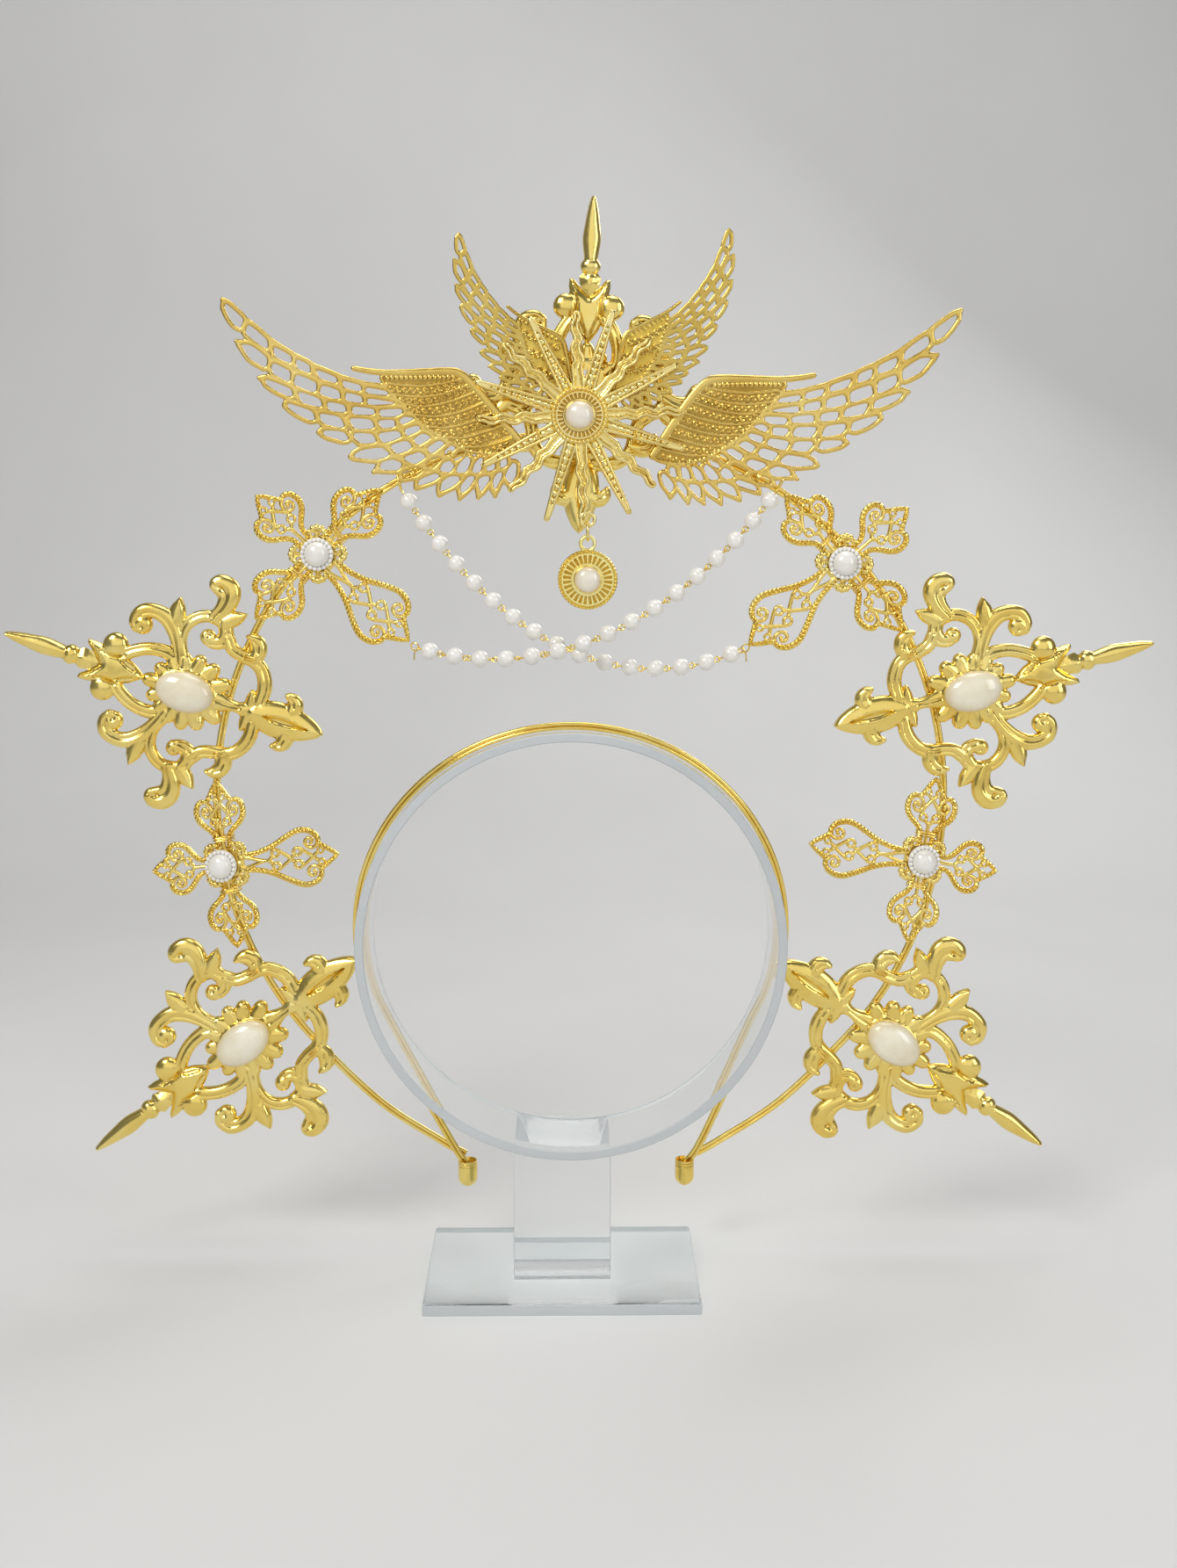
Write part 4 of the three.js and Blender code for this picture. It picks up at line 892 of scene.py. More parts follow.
# the open cells between the ribs, row by row from the tip
CELLS = [
    [(-51.2, 37.0), (-45.0, 31.5), (-46.3, 28.4), (-48.4, 29.6), (-50.3, 32.4), (-51.7, 35.6)],
    [(-43.6, 30.1), (-37.1, 24.5), (-37.2, 21.0), (-44.9, 26.7)],
    [(-46.4, 23.2), (-42.6, 22.7), (-37.2, 18.5), (-37.8, 14.9), (-43.4, 18.2)],
    [(-35.2, 22.5), (-29.0, 19.1), (-29.4, 16.4), (-34.9, 18.9)],
    [(-35.4, 16.9), (-29.5, 14.1), (-29.8, 10.6), (-31.0, 10.6), (-35.3, 13.1), (-36.1, 14.8)],
    [(-27.5, 18.3), (-23.0, 16.1), (-22.8, 13.1), (-27.5, 15.1)],
    [(-27.5, 13.1), (-20.6, 10.2), (-20.9, 7.1), (-22.8, 7.1), (-27.8, 9.2), (-28.4, 10.1)],
    [(-38.2, 11.5), (-29.3, 8.1), (-28.8, 5.6), (-30.6, 5.6), (-34.0, 7.1), (-37.8, 9.6)],
    [(-21.0, 14.8), (-13.9, 12.0), (-13.7, 9.8), (-19.8, 11.6)],
    [(-18.8, 9.4), (-13.0, 7.5), (-12.6, 4.7), (-15.0, 4.7), (-19.1, 6.0), (-19.7, 7.0)],
    [(-27.3, 7.4), (-19.5, 4.7), (-18.7, 1.7), (-25.9, 3.2)],
    [(-12.0, 11.0), (-5.7, 9.3), (-5.4, 7.6), (-6.5, 7.2), (-11.4, 8.5)],
    [(-10.8, 6.9), (-5.4, 5.6), (-5.0, 3.2), (-10.9, 4.0)],
    [(-17.2, 3.8), (-11.2, 2.6), (-10.6, 0.0), (-16.8, 0.7)],
    [(-30.6, 3.3), (-22.1, 0.5), (-21.3, -2.5), (-23.4, -2.5), (-27.7, -0.4), (-30.5, 1.8)],
    [(-3.7, 8.6), (3.4, 7.3), (3.9, 5.9), (-2.8, 6.4), (-4.1, 7.3)],
    [(-3.3, 5.0), (5.6, 3.5), (5.6, 3.0), (-1.9, 2.6), (-3.5, 3.1)],
    [(-8.6, 2.2), (-1.2, 1.3), (-0.8, -0.7), (-8.6, -0.7)],
    [(-19.7, -0.2), (-12.8, -1.4), (-11.3, -4.6), (-12.6, -5.2), (-18.0, -3.9), (-19.5, -2.4)],
    [(7.8, 1.3), (8.5, 0.8), (8.3, -0.3), (6.1, -1.3), (1.3, -1.4), (0.6, -0.1), (1.0, 1.0)],
    [(9.2, -1.3), (12.9, -1.9), (8.2, -4.2), (7.3, -2.6)],
    [(3.4, -2.4), (5.6, -2.5), (6.0, -4.4), (5.2, -5.0), (1.7, -5.4), (0.1, -3.5), (0.6, -2.7)],
    [(-10.0, -1.8), (-2.3, -2.2), (-0.9, -5.3), (-7.8, -5.8)],
    [(13.6, -4.3), (14.6, -5.4), (13.6, -6.4), (10.2, -7.9), (9.3, -6.9), (9.4, -5.5)],
    [(-18.4, -6.0), (-11.5, -6.4), (-9.9, -9.1), (-11.8, -9.6), (-16.8, -8.2), (-18.6, -7.3)],
    [(7.0, -6.1), (8.3, -8.2), (3.6, -10.0), (1.7, -10.2), (0.2, -7.8), (0.9, -6.9)],
    [(-8.1, -6.9), (-1.9, -7.1), (-0.3, -10.1), (-5.7, -10.6), (-8.2, -8.3)],
    [(15.6, -6.9), (18.4, -8.4), (13.8, -11.3), (12.0, -9.0)],
    [(20.9, -9.3), (23.1, -10.4), (18.3, -14.1), (16.6, -12.0)],
    [(9.3, -9.6), (10.5, -9.9), (11.7, -11.6), (10.2, -12.9), (6.5, -14.1), (4.4, -11.8), (4.9, -10.8)],
    [(25.2, -10.9), (26.5, -11.5), (26.4, -12.4), (23.4, -14.7), (22.5, -13.2)],
    [(28.6, -12.4), (29.6, -12.6), (28.6, -15.4), (26.2, -16.4), (25.6, -15.4)],
    [(1.3, -11.7), (4.0, -14.0), (2.6, -15.2), (-1.3, -16.0), (-8.2, -15.2), (-7.7, -13.9), (-5.2, -12.6)],
    [(14.4, -13.3), (16.5, -15.1), (12.6, -17.7), (8.9, -15.9), (9.5, -14.8)],
    [(20.0, -15.0), (21.8, -15.8), (18.8, -19.0), (15.9, -17.6)],
    [(5.2, -15.8), (8.3, -17.2), (7.2, -19.6), (0.4, -19.4), (1.2, -16.9)],
    [(13.4, -18.6), (15.4, -19.5), (13.4, -21.4), (8.4, -22.4), (8.6, -20.3)],
    [(24.2, -16.2), (26.2, -18.0), (24.6, -20.4), (21.0, -19.8), (22.2, -17.2)],
    [(31.8, -16.2), (30.2, -20.4), (27.0, -20.4), (26.8, -19.3), (28.4, -16.6), (30.6, -14.6)],
    [(34.8, -15.4), (36.0, -15.4), (35.0, -20.4), (32.2, -20.4), (33.0, -17.4)],
    [(38.0, -15.4), (39.8, -15.4), (40.0, -19.4), (37.2, -20.0), (37.2, -17.4)],
    [(42.0, -15.2), (43.8, -15.0), (44.2, -18.0), (41.8, -19.0)],
    [(19.6, -20.6), (21.2, -21.6), (19.4, -23.1), (13.6, -25.0), (14.0, -22.8)],
    [(24.7, -21.6), (27.3, -21.7), (28.1, -22.8), (25.4, -25.2), (21.1, -27.0), (21.9, -23.4)],
    [(31.0, -21.6), (32.8, -21.7), (32.9, -22.6), (30.9, -25.8), (28.4, -27.6), (28.1, -25.1)],
    [(36.4, -21.6), (37.9, -21.6), (38.1, -23.1), (35.0, -27.4), (34.1, -23.6), (34.9, -22.2)],
    [(41.2, -20.4), (42.4, -20.4), (42.3, -22.0), (39.9, -26.6), (39.2, -23.6), (40.2, -21.4)],
    [(46.2, -17.0), (47.4, -17.6), (47.2, -21.3), (45.4, -24.4), (43.4, -21.8), (44.4, -19.4)],
]
# feather tips, each drawn out from the nearest cell
TIPS = [((-46.2, 23.0), (-48.4, 24.6)), ((-38.2, 11.4), (-41.0, 11.9)), ((-30.4, 3.0), (-32.2, 2.2)), ((-18.4, -6.3), (-21.0, -6.9)), ((-8.0, -14.8), (-10.0, -15.2)), ((0.6, -19.0), (-2.4, -20.8)), ((8.6, -21.9), (6.6, -22.8)), ((13.9, -24.6), (12.6, -26.2)), ((21.5, -26.6), (20.6, -28.9)), ((28.6, -27.3), (27.6, -30.3)), ((34.9, -26.9), (33.9, -29.8)), ((39.9, -26.3), (40.0, -29.3)), ((45.3, -24.2), (46.2, -26.8))]
RIDGES = [
    [(3.2, 9.9), (14, 9.1), (23, 10.1), (29.5, 11.6)],
    [(4.8, 6.3), (14, 5.5), (22, 6.4), (31.5, 9.6)],
    [(8.6, 3.0), (16, 2.2), (25, 3.9), (34, 7.3)],
    [(12.4, -0.6), (20, -1.2), (29, 0.6), (37, 3.8)],
    [(17.2, -4.6), (24, -4.9), (33, -2.7), (40, 0.2)],
    [(22.8, -8.2), (29, -8.4), (37, -6.2), (43.4, -3.8)],
    [(29.0, -11.5), (35, -11.4), (41, -9.8), (46.6, -7.8)],
]
BEND_U, BEND_V, BEND_REACH = (-5.8, -0.6, -1.1, 0.5, 4.2, 6.5), (1.0, -0.9, 0.6, -2.7, 0.7, 3.6), 50.0


def wing_relief(step, rim, inset, half, small):
    plate = Relief(-58, 54, -34, 43, step)
    outlines = [rounded(c) for c in CELLS]
    for q in outlines:
        win, deep = plate.signed(q, 3.5)
        plate.put(win, deep + rim, 0.0, 0.8)
    for start, tip in TIPS:
        end = (start[0] + 0.72 * (tip[0] - start[0]), start[1] + 0.72 * (tip[1] - start[1]))
        plate.stroke([(*start, 1.4), (*end, 0.75)], 0.0, 0.0, per=4, blend=1.2)
    plate.stroke(LEADING_EDGE, 0.0, 0.0, per=8, blend=0.8)
    win, deep = plate.signed(rounded(COVERT, (0.25, 0.25)), 3.0)
    plate.put(win, deep + 0.9, 0.0, 0.5)
    inner = deep > 0.2
    for q in outlines:
        near, deep = plate.signed(q, 2.5)
        plate.inside[near] = np.minimum(plate.inside[near], inset - deep)
    # the ribs are round on top, the coverts a sunk field with raised work on it
    plate.front = 0.5 + 0.55 * section_round(1 - np.clip(plate.inside / half, 0, 1))
    if small:
        plate.front = 0.74 + 0.26 * np.clip(plate.inside / 0.55, 0, 1) ** 0.6
    plate.front[win] = np.where(inner, np.minimum(plate.front[win], 0.62), plate.front[win])
    lines = [smooth_path(r, 14) for r in RIDGES]
    if small:
        pairs = [(0, 2), (2, 4), (4, 6)]
        size, pitch, eye = 1.95, 4.1, 0.42
    else:
        pairs = [(k, k + 1) for k in range(6)]
        size, pitch, eye = 1.12, 2.35, 0.0
        for line in lines:
            plate.stroke([(u, v, 0.5) for u, v in line], 0.55, 0.5, "round", per=1, blend=0)
    rows = [(lines[i] + lines[j]) / 2 for i, j in pairs]
    if not small:
        rows.append(lines[6] + np.array([0.9, -2.3]))
    for n, row in enumerate(rows):
        gone = np.concatenate([[0], np.cumsum(np.hypot(*np.diff(row, axis=0).T))])
        for d in np.arange(pitch * (0.75 if n % 2 else 0.45), gone[-1] - pitch * 0.3, pitch):
            plate.emboss(np.interp(d, gone, row[:, 0]), np.interp(d, gone, row[:, 1]), size, 0.62, 0.44, eye)
    # a row of teeth under the shoulder bar, and a beaded lower edge
    for u in np.arange(3.4, 27.0, 1.6 if not small else 2.8):
        plate.ball(u, 11.7 + 0.012 * (u - 3), 0.72 if not small else 1.15, 0.55, 0.5, blend=0, oval=1.35)
    edge = smooth_path(COVERT[1:12], 8)
    gone = np.concatenate([[0], np.cumsum(np.hypot(*np.diff(edge, axis=0).T))])
    bead = 0.78 if not small else 1.3
    for d in np.arange(0.6, gone[-1], bead * 2.0):
        plate.ball(np.interp(d, gone, edge[:, 0]), np.interp(d, gone, edge[:, 1]), bead, 0.55, 0.52, blend=0.2)
    plate.stroke(SHOULDER_BAR, 0.45, 0.72, "round", per=10, blend=0.4)
    plate.front = np.clip(plate.front, 0.35, 1.15)
    verts, faces = plate.solid()
    # faces of the sunk covert field between these heights take the second material, a darker gold as painted shadow
    return thinned(verts, faces, 0.7 if small else 0.78, hollows(verts, faces, COVERT, 0.3, 0.78))


LARGE_WING = wing_relief(0.27, 1.55, 0.0, 0.62, False)
SMALL_WING = wing_relief(0.36, 1.75, 0.65, 0.9, True)
for name, (x, y, z, scale, turn, flip, bend) in WINGS.items():
    large = name.startswith("large")
    verts, faces, tone = LARGE_WING if large else SMALL_WING
    verts = verts.copy()
    if not large:
        verts[:, 2] *= 0.86
    if flip:
        verts[:, 0] *= -1
        faces = [f[::-1] for f in faces]
    if bend:
        a, b = verts[:, 0] / BEND_REACH, verts[:, 1] / BEND_REACH
        terms = np.stack([np.ones_like(a), a, b, a * a, a * b, b * b], 1)
        verts[:, 0], verts[:, 1] = verts[:, 0] + terms @ BEND_U, verts[:, 1] + terms @ BEND_V
    verts[:, :2] *= scale
    shape = Shape().add(facing(verts, x, y, z, turn), faces, tone)
    # each wing's second material is the darker gold of painted shadow on its covert field
    piece("cast_" + name, shape, [WARM, WING_PAINTED_SHADOW] if large else [ANTIQUE, PAINTED_SHADE_GOLD], replaces=[name])


# ------------------------------------------------------------------ sunburst
def sun_rays():
    plate = Relief(-39.5, 39.5, -39.5, 39.5, 0.2)
    for k in range(8):
        t = rad(27.2 + 45 * k)
        c, s = math.cos(t), math.sin(t)

        def at(a, b):
            return a * c - b * s, a * s + b * c

        plate.stroke([(*at(5, 0), 2.45), (*at(20, 0), 1.95), (*at(36.0, 0), 1.05)], 0.35, 0.1, "flat", per=4, blend=0)
        for side in (1, -1):
            plate.stroke([(*at(7, 1.85 * side), 0.6), (*at(20, 1.36 * side), 0.6), (*at(35.4, 0.52 * side), 0.55)], 0.7, 0.8, "round", per=4, blend=0)
        for d in np.arange(10.9, 31.0, 2.35):
            w = 1.25 * (1 - (d - 10) / 40)
            plate.stroke([(*at(d - 0.34, 0), w), (*at(d + 0.34, 0), w)], 0.5, 0.85, "round", per=2, blend=0)
        plate.stroke([(*at(31.8, 0), 1.0), (*at(35.6, 0), 0.95)], 0.7, 0.75, "round", per=3, blend=0)
        t = rad(2.5 + 45 * k)
        c, s = math.cos(t), math.sin(t)
        d = np.linspace(6, 33.6, 57)
        grow = np.clip((d - 11) / 8, 0, 1)
        wave = 0.56 * np.sin(2 * math.pi * (d - 13.0) / 7.2) * grow * grow * (3 - 2 * grow)
        half = 2.35 - 1.15 * (d - 6) / 27.6
        plate.stroke([(*at(a, b), h) for a, b, h in zip(d, wave, half)], 0.4, 0.1, "flat", per=1, blend=0)
        for side in (1, -1):
            plate.stroke([(*at(a, b + side * (h - 0.52)), 0.64) for a, b, h in zip(d, wave, half)], 0.7, 0.8, "round", per=1, blend=0)
    plate.front = np.clip(plate.front, 0.35, 1.5)
    return plate.solid()


def sun_hub(r, t):
    z = np.full(np.shape(r), 2.0)
    z = np.where(r < 5.35, 2.35, z)
    z = np.where((r >= 5.0) & (r < 5.5), 2.85, z)
    flute = np.clip(np.cos(30 * t) * 2.0 + 0.35, -1, 1)
    z = np.where((r >= 5.6) & (r < 7.3), 2.25 + 0.5 * flute, z)
    z = np.where((r >= 7.35) & (r < 7.75), 2.72, z)
    z = np.where((r >= 7.8) & (r < 8.0), 2.1, z)
    bead = np.abs(np.cos(20 * t)) ** 0.6
    z = np.where(r >= 8.02, 1.6 + (0.3 + 0.7 * bead) * 1.25 * np.sqrt(np.clip(1 - ((r - 8.8) / 0.8) ** 2, 0, 1)), z)
    return z


def torus(centre, axis, r, wire, count=40, sides=10):
    axis = np.asarray(axis, float)
    a = np.array([1.0, 0, 0]) if abs(axis[0]) < 0.9 else np.array([0, 1.0, 0])
    a = a - axis * np.dot(a, axis)
    a /= np.linalg.norm(a)
    return tube(ring_path(centre, a, np.cross(axis, a), r, r, count), wire, sides, closed=True)


sun = Shape()
v, f, tone = thinned(*sun_rays(), 0.7)
sun.add(facing(v, SUN_X, SUN_BACK, SUN_Z, 0), f)
radii = [1.5, 3.4, 4.9, 5.05, 5.25, 5.45, 5.55, 5.65, 6.1, 6.6, 7.1, 7.25, 7.38, 7.55, 7.72, 7.82, 7.97, 8.06, 8.2, 8.4, 8.6, 8.8, 9.0, 9.2, 9.4, 9.52, 9.58]
v, f = polar(sun_hub, radii, 360, back=0.15)
# the hollows of the hub's flutes take the darker gold: painted shade
sun.add(facing(v, SUN_X, SUN_BACK, SUN_Z, 0), f, sunk(v, f, 5.6, 7.35, 30))
v, f = torus((LOOP_X, LOOP_Y, LOOP_Z), (0, 1, 0), 2.3, 0.66)
sun.add(v, f)
piece("sunburst_rays", sun, [PALE, PAINTED_SHADE_GOLD], replaces=["sunburst"])

shape = Shape()
v, f = cabochon(4.8, 4.2, 56, 16)
v[:, 2] += 2.9 + GAP
shape.add(facing(v, SUN_X, SUN_BACK, SUN_Z, 0), f)
v, f = tube(ring_path((0, 0, 3.35), (1, 0, 0), (0, 1, 0), 4.72, 4.72, 72), 0.5, 10, closed=True)
shape.add(facing(v, SUN_X, SUN_BACK, SUN_Z, 0), f, 1)
piece("sunburst_cabochon", shape, [SUN_SKIN, YELLOW], replaces=["sunburst_pearl"])


# ------------------------------------------------------------------ drop
v, f = torus((LOOP_X, LOOP_Y, RING_Z), (1, 0, 0), 3.0, 0.55, 48)
piece("jump_ring_wire", Shape().add(v, f), [PALE], body="jump_ring", replaces=["jump_ring"])


def medal_face(r, t):
    z = np.full(np.shape(r), 1.9)
    z = np.where(r < 4.7, 2.3, z)
    z = np.where((r >= 4.5) & (r < 5.5), 2.6, z)
    flute = np.clip(np.cos(28 * t) * 2.0 + 0.3, -1, 1)
    z = np.where((r >= 5.5) & (r < 8.2), 1.9 + 0.5 * flute, z)
    z = np.where((r >= 8.25) & (r < 8.75), 2.35, z)
    z = np.where((r >= 8.8) & (r < 9.05), 1.75, z)
    twist = 0.5 + 0.5 * np.cos(48 * t + 4.0 * (r - 9.6))
    z = np.where(r >= 9.08, 1.5 + (0.45 + 0.55 * twist) * 1.15 * np.sqrt(np.clip(1 - ((r - 9.58) / 0.56) ** 2, 0, 1)), z)
    return z


medal = Shape()
radii = [2.0, 4.4, 4.55, 4.8, 5.2, 5.45, 5.6, 5.75, 6.4, 7.2, 7.9, 8.15, 8.3, 8.5, 8.7, 8.82, 9.0, 9.1, 9.22, 9.4, 9.6, 9.8, 9.98, 10.1]
v, f = polar(medal_face, radii, 336)
# the hollows of the flutes take the darker gold: painted shade
tone = sunk(v, f, 5.7, 8.25, 28)
# the rope rim takes the paler gold: a painted highlight
tone[np.array([np.hypot(*v[q][:, :2].T).min() for q in f]) > 9.02] = 2
medal.add(facing(v, LOOP_X, 14.15, DROP_Z, 0), f, tone)
v, f = torus((LOOP_X, LOOP_Y, DROP_LOOP_Z), (0, 1, 0), 2.35, 0.66)
medal.add(v, f)
piece("drop_medallion_disc", medal, [DROP_GOLD, PAINTED_SHADE_GOLD, PALE], body="drop", replaces=["drop_medallion"])

shape = Shape()
v, f = cabochon(4.4, 3.6, 52, 14)
v[:, 2] += 2.6 + GAP
shape.add(facing(v, LOOP_X, 14.15, DROP_Z, 0), f)
v, f = tube(ring_path((0, 0, 3.05), (1, 0, 0), (0, 1, 0), 4.32, 4.32, 72), 0.5, 10, closed=True)
shape.add(facing(v, LOOP_X, 14.15, DROP_Z, 0), f, 1)
piece("drop_cabochon", shape, [DROP_SKIN, YELLOW], body="drop", replaces=["drop_pearl"])


# ------------------------------------------------------------------ wire frame
def halo_at(deg, r):
    return HALO_X + r * math.sin(rad(deg)), HALO_Y, HALO_Z + r * math.cos(rad(deg))


CAP_LEFT, CAP_RIGHT, CAP_Z, CAP_Y = -36.0, 39.6, 27.4, 20.7
TAIL = [(147, 127.4), (158, 130.0), (162.2, 131.6)]
halo_rows = [halo_at(-d, r) for d, r in reversed(TAIL)] + [halo_at(d, HALO_R) for d in np.linspace(-134, 134, 33)] + [halo_at(d, r) for d, r in TAIL]
wrap = TUBE_R + GAP + WIRE_R + WIRE_PITCH / 2
top_z, cap_z = TUBE_Z + wrap, CAP_Z + 3


def band_at(x, z):
    return x, -13 + 33.4 * (top_z - z) / (top_z - cap_z), z


band_rows = [band_at(CAP_LEFT - 0.6, cap_z), band_at(CAP_LEFT - 6.5, cap_z + 11)]
band_rows += [band_at(wrap * math.sin(rad(d)), TUBE_Z + wrap * math.cos(rad(d))) for d in np.linspace(-120, 120, 19)]
band_rows += [band_at(CAP_RIGHT + 6.5, cap_z + 11), band_at(CAP_RIGHT + 0.6, cap_z)]

wires = Shape()
for rows in (halo_rows, band_rows):
    run = smooth_path(rows, 7)
    along = np.gradient(run, axis=0)
    across = np.stack([along[:, 2], np.zeros(len(run)), -along[:, 0]], 1)
    across /= np.linalg.norm(across, axis=1)[:, None]
    for side in (1, -1):
        v, f = tube(run + across * side * WIRE_PITCH / 2, WIRE_R, 12)
        wires.add(v, f)
CUP = [(0, -4.65), (0.9, -4.55), (1.85, -3.95), (2.7, -3.1), (3.15, -2.3), (3.3, -1.6), (3.3, 2.6), (3.15, 2.75), (3.15, 3.0), (3.3, 3.15), (3.3, 3.7), (3.15, 3.85), (3.3, 4.05), (3.3, 4.55), (3.2, 4.65), (2.85, 4.65), (2.75, 4.5), (2.75, -1.8), (1.6, -2.8), (0, -3.2)]
for x in (CAP_LEFT, CAP_RIGHT):
    v, f = lathe(CUP, 40)
    wires.add(v + np.array([x, CAP_Y, CAP_Z]), f)
piece("double_wire_frame", wires, [YELLOW], replaces=["wire_frame"])


# ------------------------------------------------------------------ binding wires
def tie(shape, x, z, tangent, half, front, back, turns, wire=0.19, gap=0.44):
    """Turns of fine wire round a plate and the halo behind it. tangent is the direction the turns follow, in degrees from +X towards +Z."""
    t = rad(tangent)
    along, across = np.array([math.cos(t), 0, math.sin(t)]), np.array([-math.sin(t), 0, math.cos(t)])
    for k in range(turns):
        c = np.array([x, (front + back) / 2, z]) + along * gap * (k - (turns - 1) / 2)
        lean = across + along * (0.06 if k % 2 else -0.05)
        path = ring_path(c, lean, np.array([0, 1.0, 0]), half, (back - front) / 2, 30, 0.62)
        v, f = tube(path, wire, 6, closed=True)
        shape.add(v, f)


def spot_on(u, v, x, z, turn):
    p = facing([(u, v, 0.0)], x, 0, z, turn)[0]
    return p[0], p[2]


ties = Shape()
BACK_OF_HALO = HALO_Y + WIRE_R + 0.2
for name, (x, z, turn, held) in BAROQUES.items():
    if name == "top":
        continue
    for side in (1, -1):
        px, pz = spot_on(17.1 * side, -17.6, x, z, turn)
        deg = math.degrees(math.atan2(pz - HALO_Z, px - HALO_X)) + 90
        tie(ties, px, pz, deg, 2.75, 17.0, BACK_OF_HALO, 5)
for name, (x, z, turn, yaw, lift, scale, spot) in CROSSES.items():
    for side in (1, -1):
        px, pz = spot_on(9.6 * side * scale, 0.0, x, z, turn)
        deg = math.degrees(math.atan2(pz - HALO_Z, px - HALO_X)) + 90
        shift = 9.6 * side * scale * math.sin(rad(yaw)) * math.cos(rad(turn))
        tie(ties, px, pz, deg, 3.9 * scale, CROSS_BACK - lift + shift - 1.75, BACK_OF_HALO, 4)
# the wings and the sunburst hang on the halo by longer loops
for deg, half, front in ((-27.0, 1.2, 13.6), (-20.5, 1.2, 13.6), (28.5, 1.2, 13.6), (21.5, 1.2, 13.6), (-6.6, 2.1, 11.9), (8.4, 2.1, 11.9)):
    px, _, pz = halo_at(deg, HALO_R)
    tie(ties, px, pz, -deg, max(half, 1.65), front, BACK_OF_HALO, 3)
piece("binding_wires", ties, [YELLOW])


# ------------------------------------------------------------------ bead strands
STRANDS = {
    # both ends, length, and how far the middle lies behind (+) or before (-) the straight run
    "strand_a": ((-56.9, 16.6, 264.6), (58.7, 18.4, 210.6), 140.5, 1.2),
    "strand_b": ((69.9, 16.6, 264.7), (-52.1, 18.4, 211.2), 141.8, -8.2),
}
BEAD_R, BEADS, EYE_R, EYE_WIRE = 3.0, 16, 0.9, 0.24


def hanging(start, end, length, bow):
    span, rise = math.hypot(end[0] - start[0], end[1] - start[1]), end[2] - start[2]
    want = math.sqrt(length * length - rise * rise)
    low, high = span / 40, span * 40
    for _ in range(80):
        a = (low + high) / 2
        if 2 * a * math.sinh(span / (2 * a)) > want:
            low = a
        else:
            high = a
    a = (low + high) / 2
    mid = span / 2 - a * math.asinh(rise / (2 * a * math.sinh(span / (2 * a))))
    drop = start[2] - a * math.cosh(-mid / a)
    x = np.linspace(0, span, 600)
    f = x / span
    return np.stack([start[0] + (end[0] - start[0]) * f, start[1] + (end[1] - start[1]) * f + bow * np.sin(math.pi * f), drop + a * np.cosh((x - mid) / a)], 1)


def sphere(r, sides, rings):
    """A bead with its axis along x and a small dent at each end of its bore."""
    rows = [(0.0, -r * 0.93)]
    for i in range(1, rings):
        a = i / rings * math.pi
        dent = 0.05 * r * math.exp(-((math.sin(a) / 0.16) ** 2))
        rows.append((r * math.sin(a), -(r - dent) * math.cos(a)))
    rows.append((0.0, r * 0.93))
    v, f = lathe(rows, sides)
    return v[:, [2, 0, 1]], f


def turned(points, direction):
    """Points whose x axis is turned to a direction by the shortest way."""
    q = Vector((1, 0, 0)).rotation_difference(Vector(direction))
    m = np.array(q.to_matrix())
    return np.asarray(points, float) @ m.T


ends = Shape()
for name, (start, end, length, bow) in STRANDS.items():
    run = hanging(start, end, length, bow)
    gone = np.concatenate([[0], np.cumsum(np.linalg.norm(np.diff(run, axis=0), axis=1))])
    marks = np.linspace(0, gone[-1], BEADS + 1)
    joints = np.stack([np.interp(marks, gone, run[:, k]) for k in range(3)], 1)
    pitch = np.linalg.norm(joints[1] - joints[0])
    reach = pitch / 2 - (EYE_R - 0.22 - 0.14)
    for i in range(BEADS):
        mid, way = (joints[i] + joints[i + 1]) / 2, joints[i + 1] - joints[i]
        way = way / np.linalg.norm(way)
        shape = Shape()
        v, f = sphere(BEAD_R, 28, 18)
        shape.add(turned(v, way) + mid, f, 0)
        for x, axis in ((-reach, (0, 0, 1)), (reach, (0, 1, 0))):
            v, f = torus((x, 0, 0), axis, EYE_R, EYE_WIRE, 20, 8)
            shape.add(turned(v, way) + mid, f, 1)
            s = math.copysign(1, x)
            v, f = tube([(s * 2.75, 0, 0), (s * 3.0, 0, 0), (s * (abs(x) - EYE_R), 0, 0)], 0.26, 8)
            shape.add(turned(v, way) + mid, f, 1)
        piece("%s_pearl_%02d" % (name, i + 1), shape, [PEARL, YELLOW], replaces=["%s_bead_%02d" % (name, i + 1)])
    # the long eye on the wing's feather, and the ring with its spare wire on the cross
    side = -1 if start[0] < 0 else 1
    hook = np.array([-58.1, 14.5, 269.3]) if side < 0 else np.array([71.3, 14.5, 268.3])
    first = joints[0] + (joints[0] - joints[1]) / pitch * 0.2
    mid, way = (first + hook) / 2, hook - first
    size = np.linalg.norm(way)
    way = way / size
    wide = np.cross(way, (1, 0, 0))
    wide /= np.linalg.norm(wide)
    v, f = tube(ring_path(mid, way, wide, size / 2 + 0.55, 1.15, 36), 0.28, 8, closed=True)
    ends.add(v, f)
    tip = joints[-1]
    side = 1 if end[0] > 0 else -1
    ring = tip + np.array([side * 0.95, 0.75, 0.5])
    v, f = tube(ring_path(ring, (side * 0.88, 0.45, 0.15), (0, -0.3, 0.95), 1.55, 1.45, 30), 0.27, 8, closed=True)
    ends.add(v, f)
    v, f = tube([ring + np.array([0, 0, -1.4]), ring + np.array([side * 0.15, -0.1, -2.8]), ring + np.array([side * 0.3, -0.15, -4.6])], 0.25, 8)
    ends.add(v, f)
piece("strand_end_links", ends, [YELLOW])


# ------------------------------------------------------------------ display stand
def mesh_object(name, verts, faces):
    mesh = bpy.data.meshes.new(name)
    mesh.from_pydata((np.asarray(verts, float) * MM).tolist(), [], faces)
    obj = bpy.data.objects.new(name, mesh)
    bpy.context.scene.collection.objects.link(obj)
    return obj


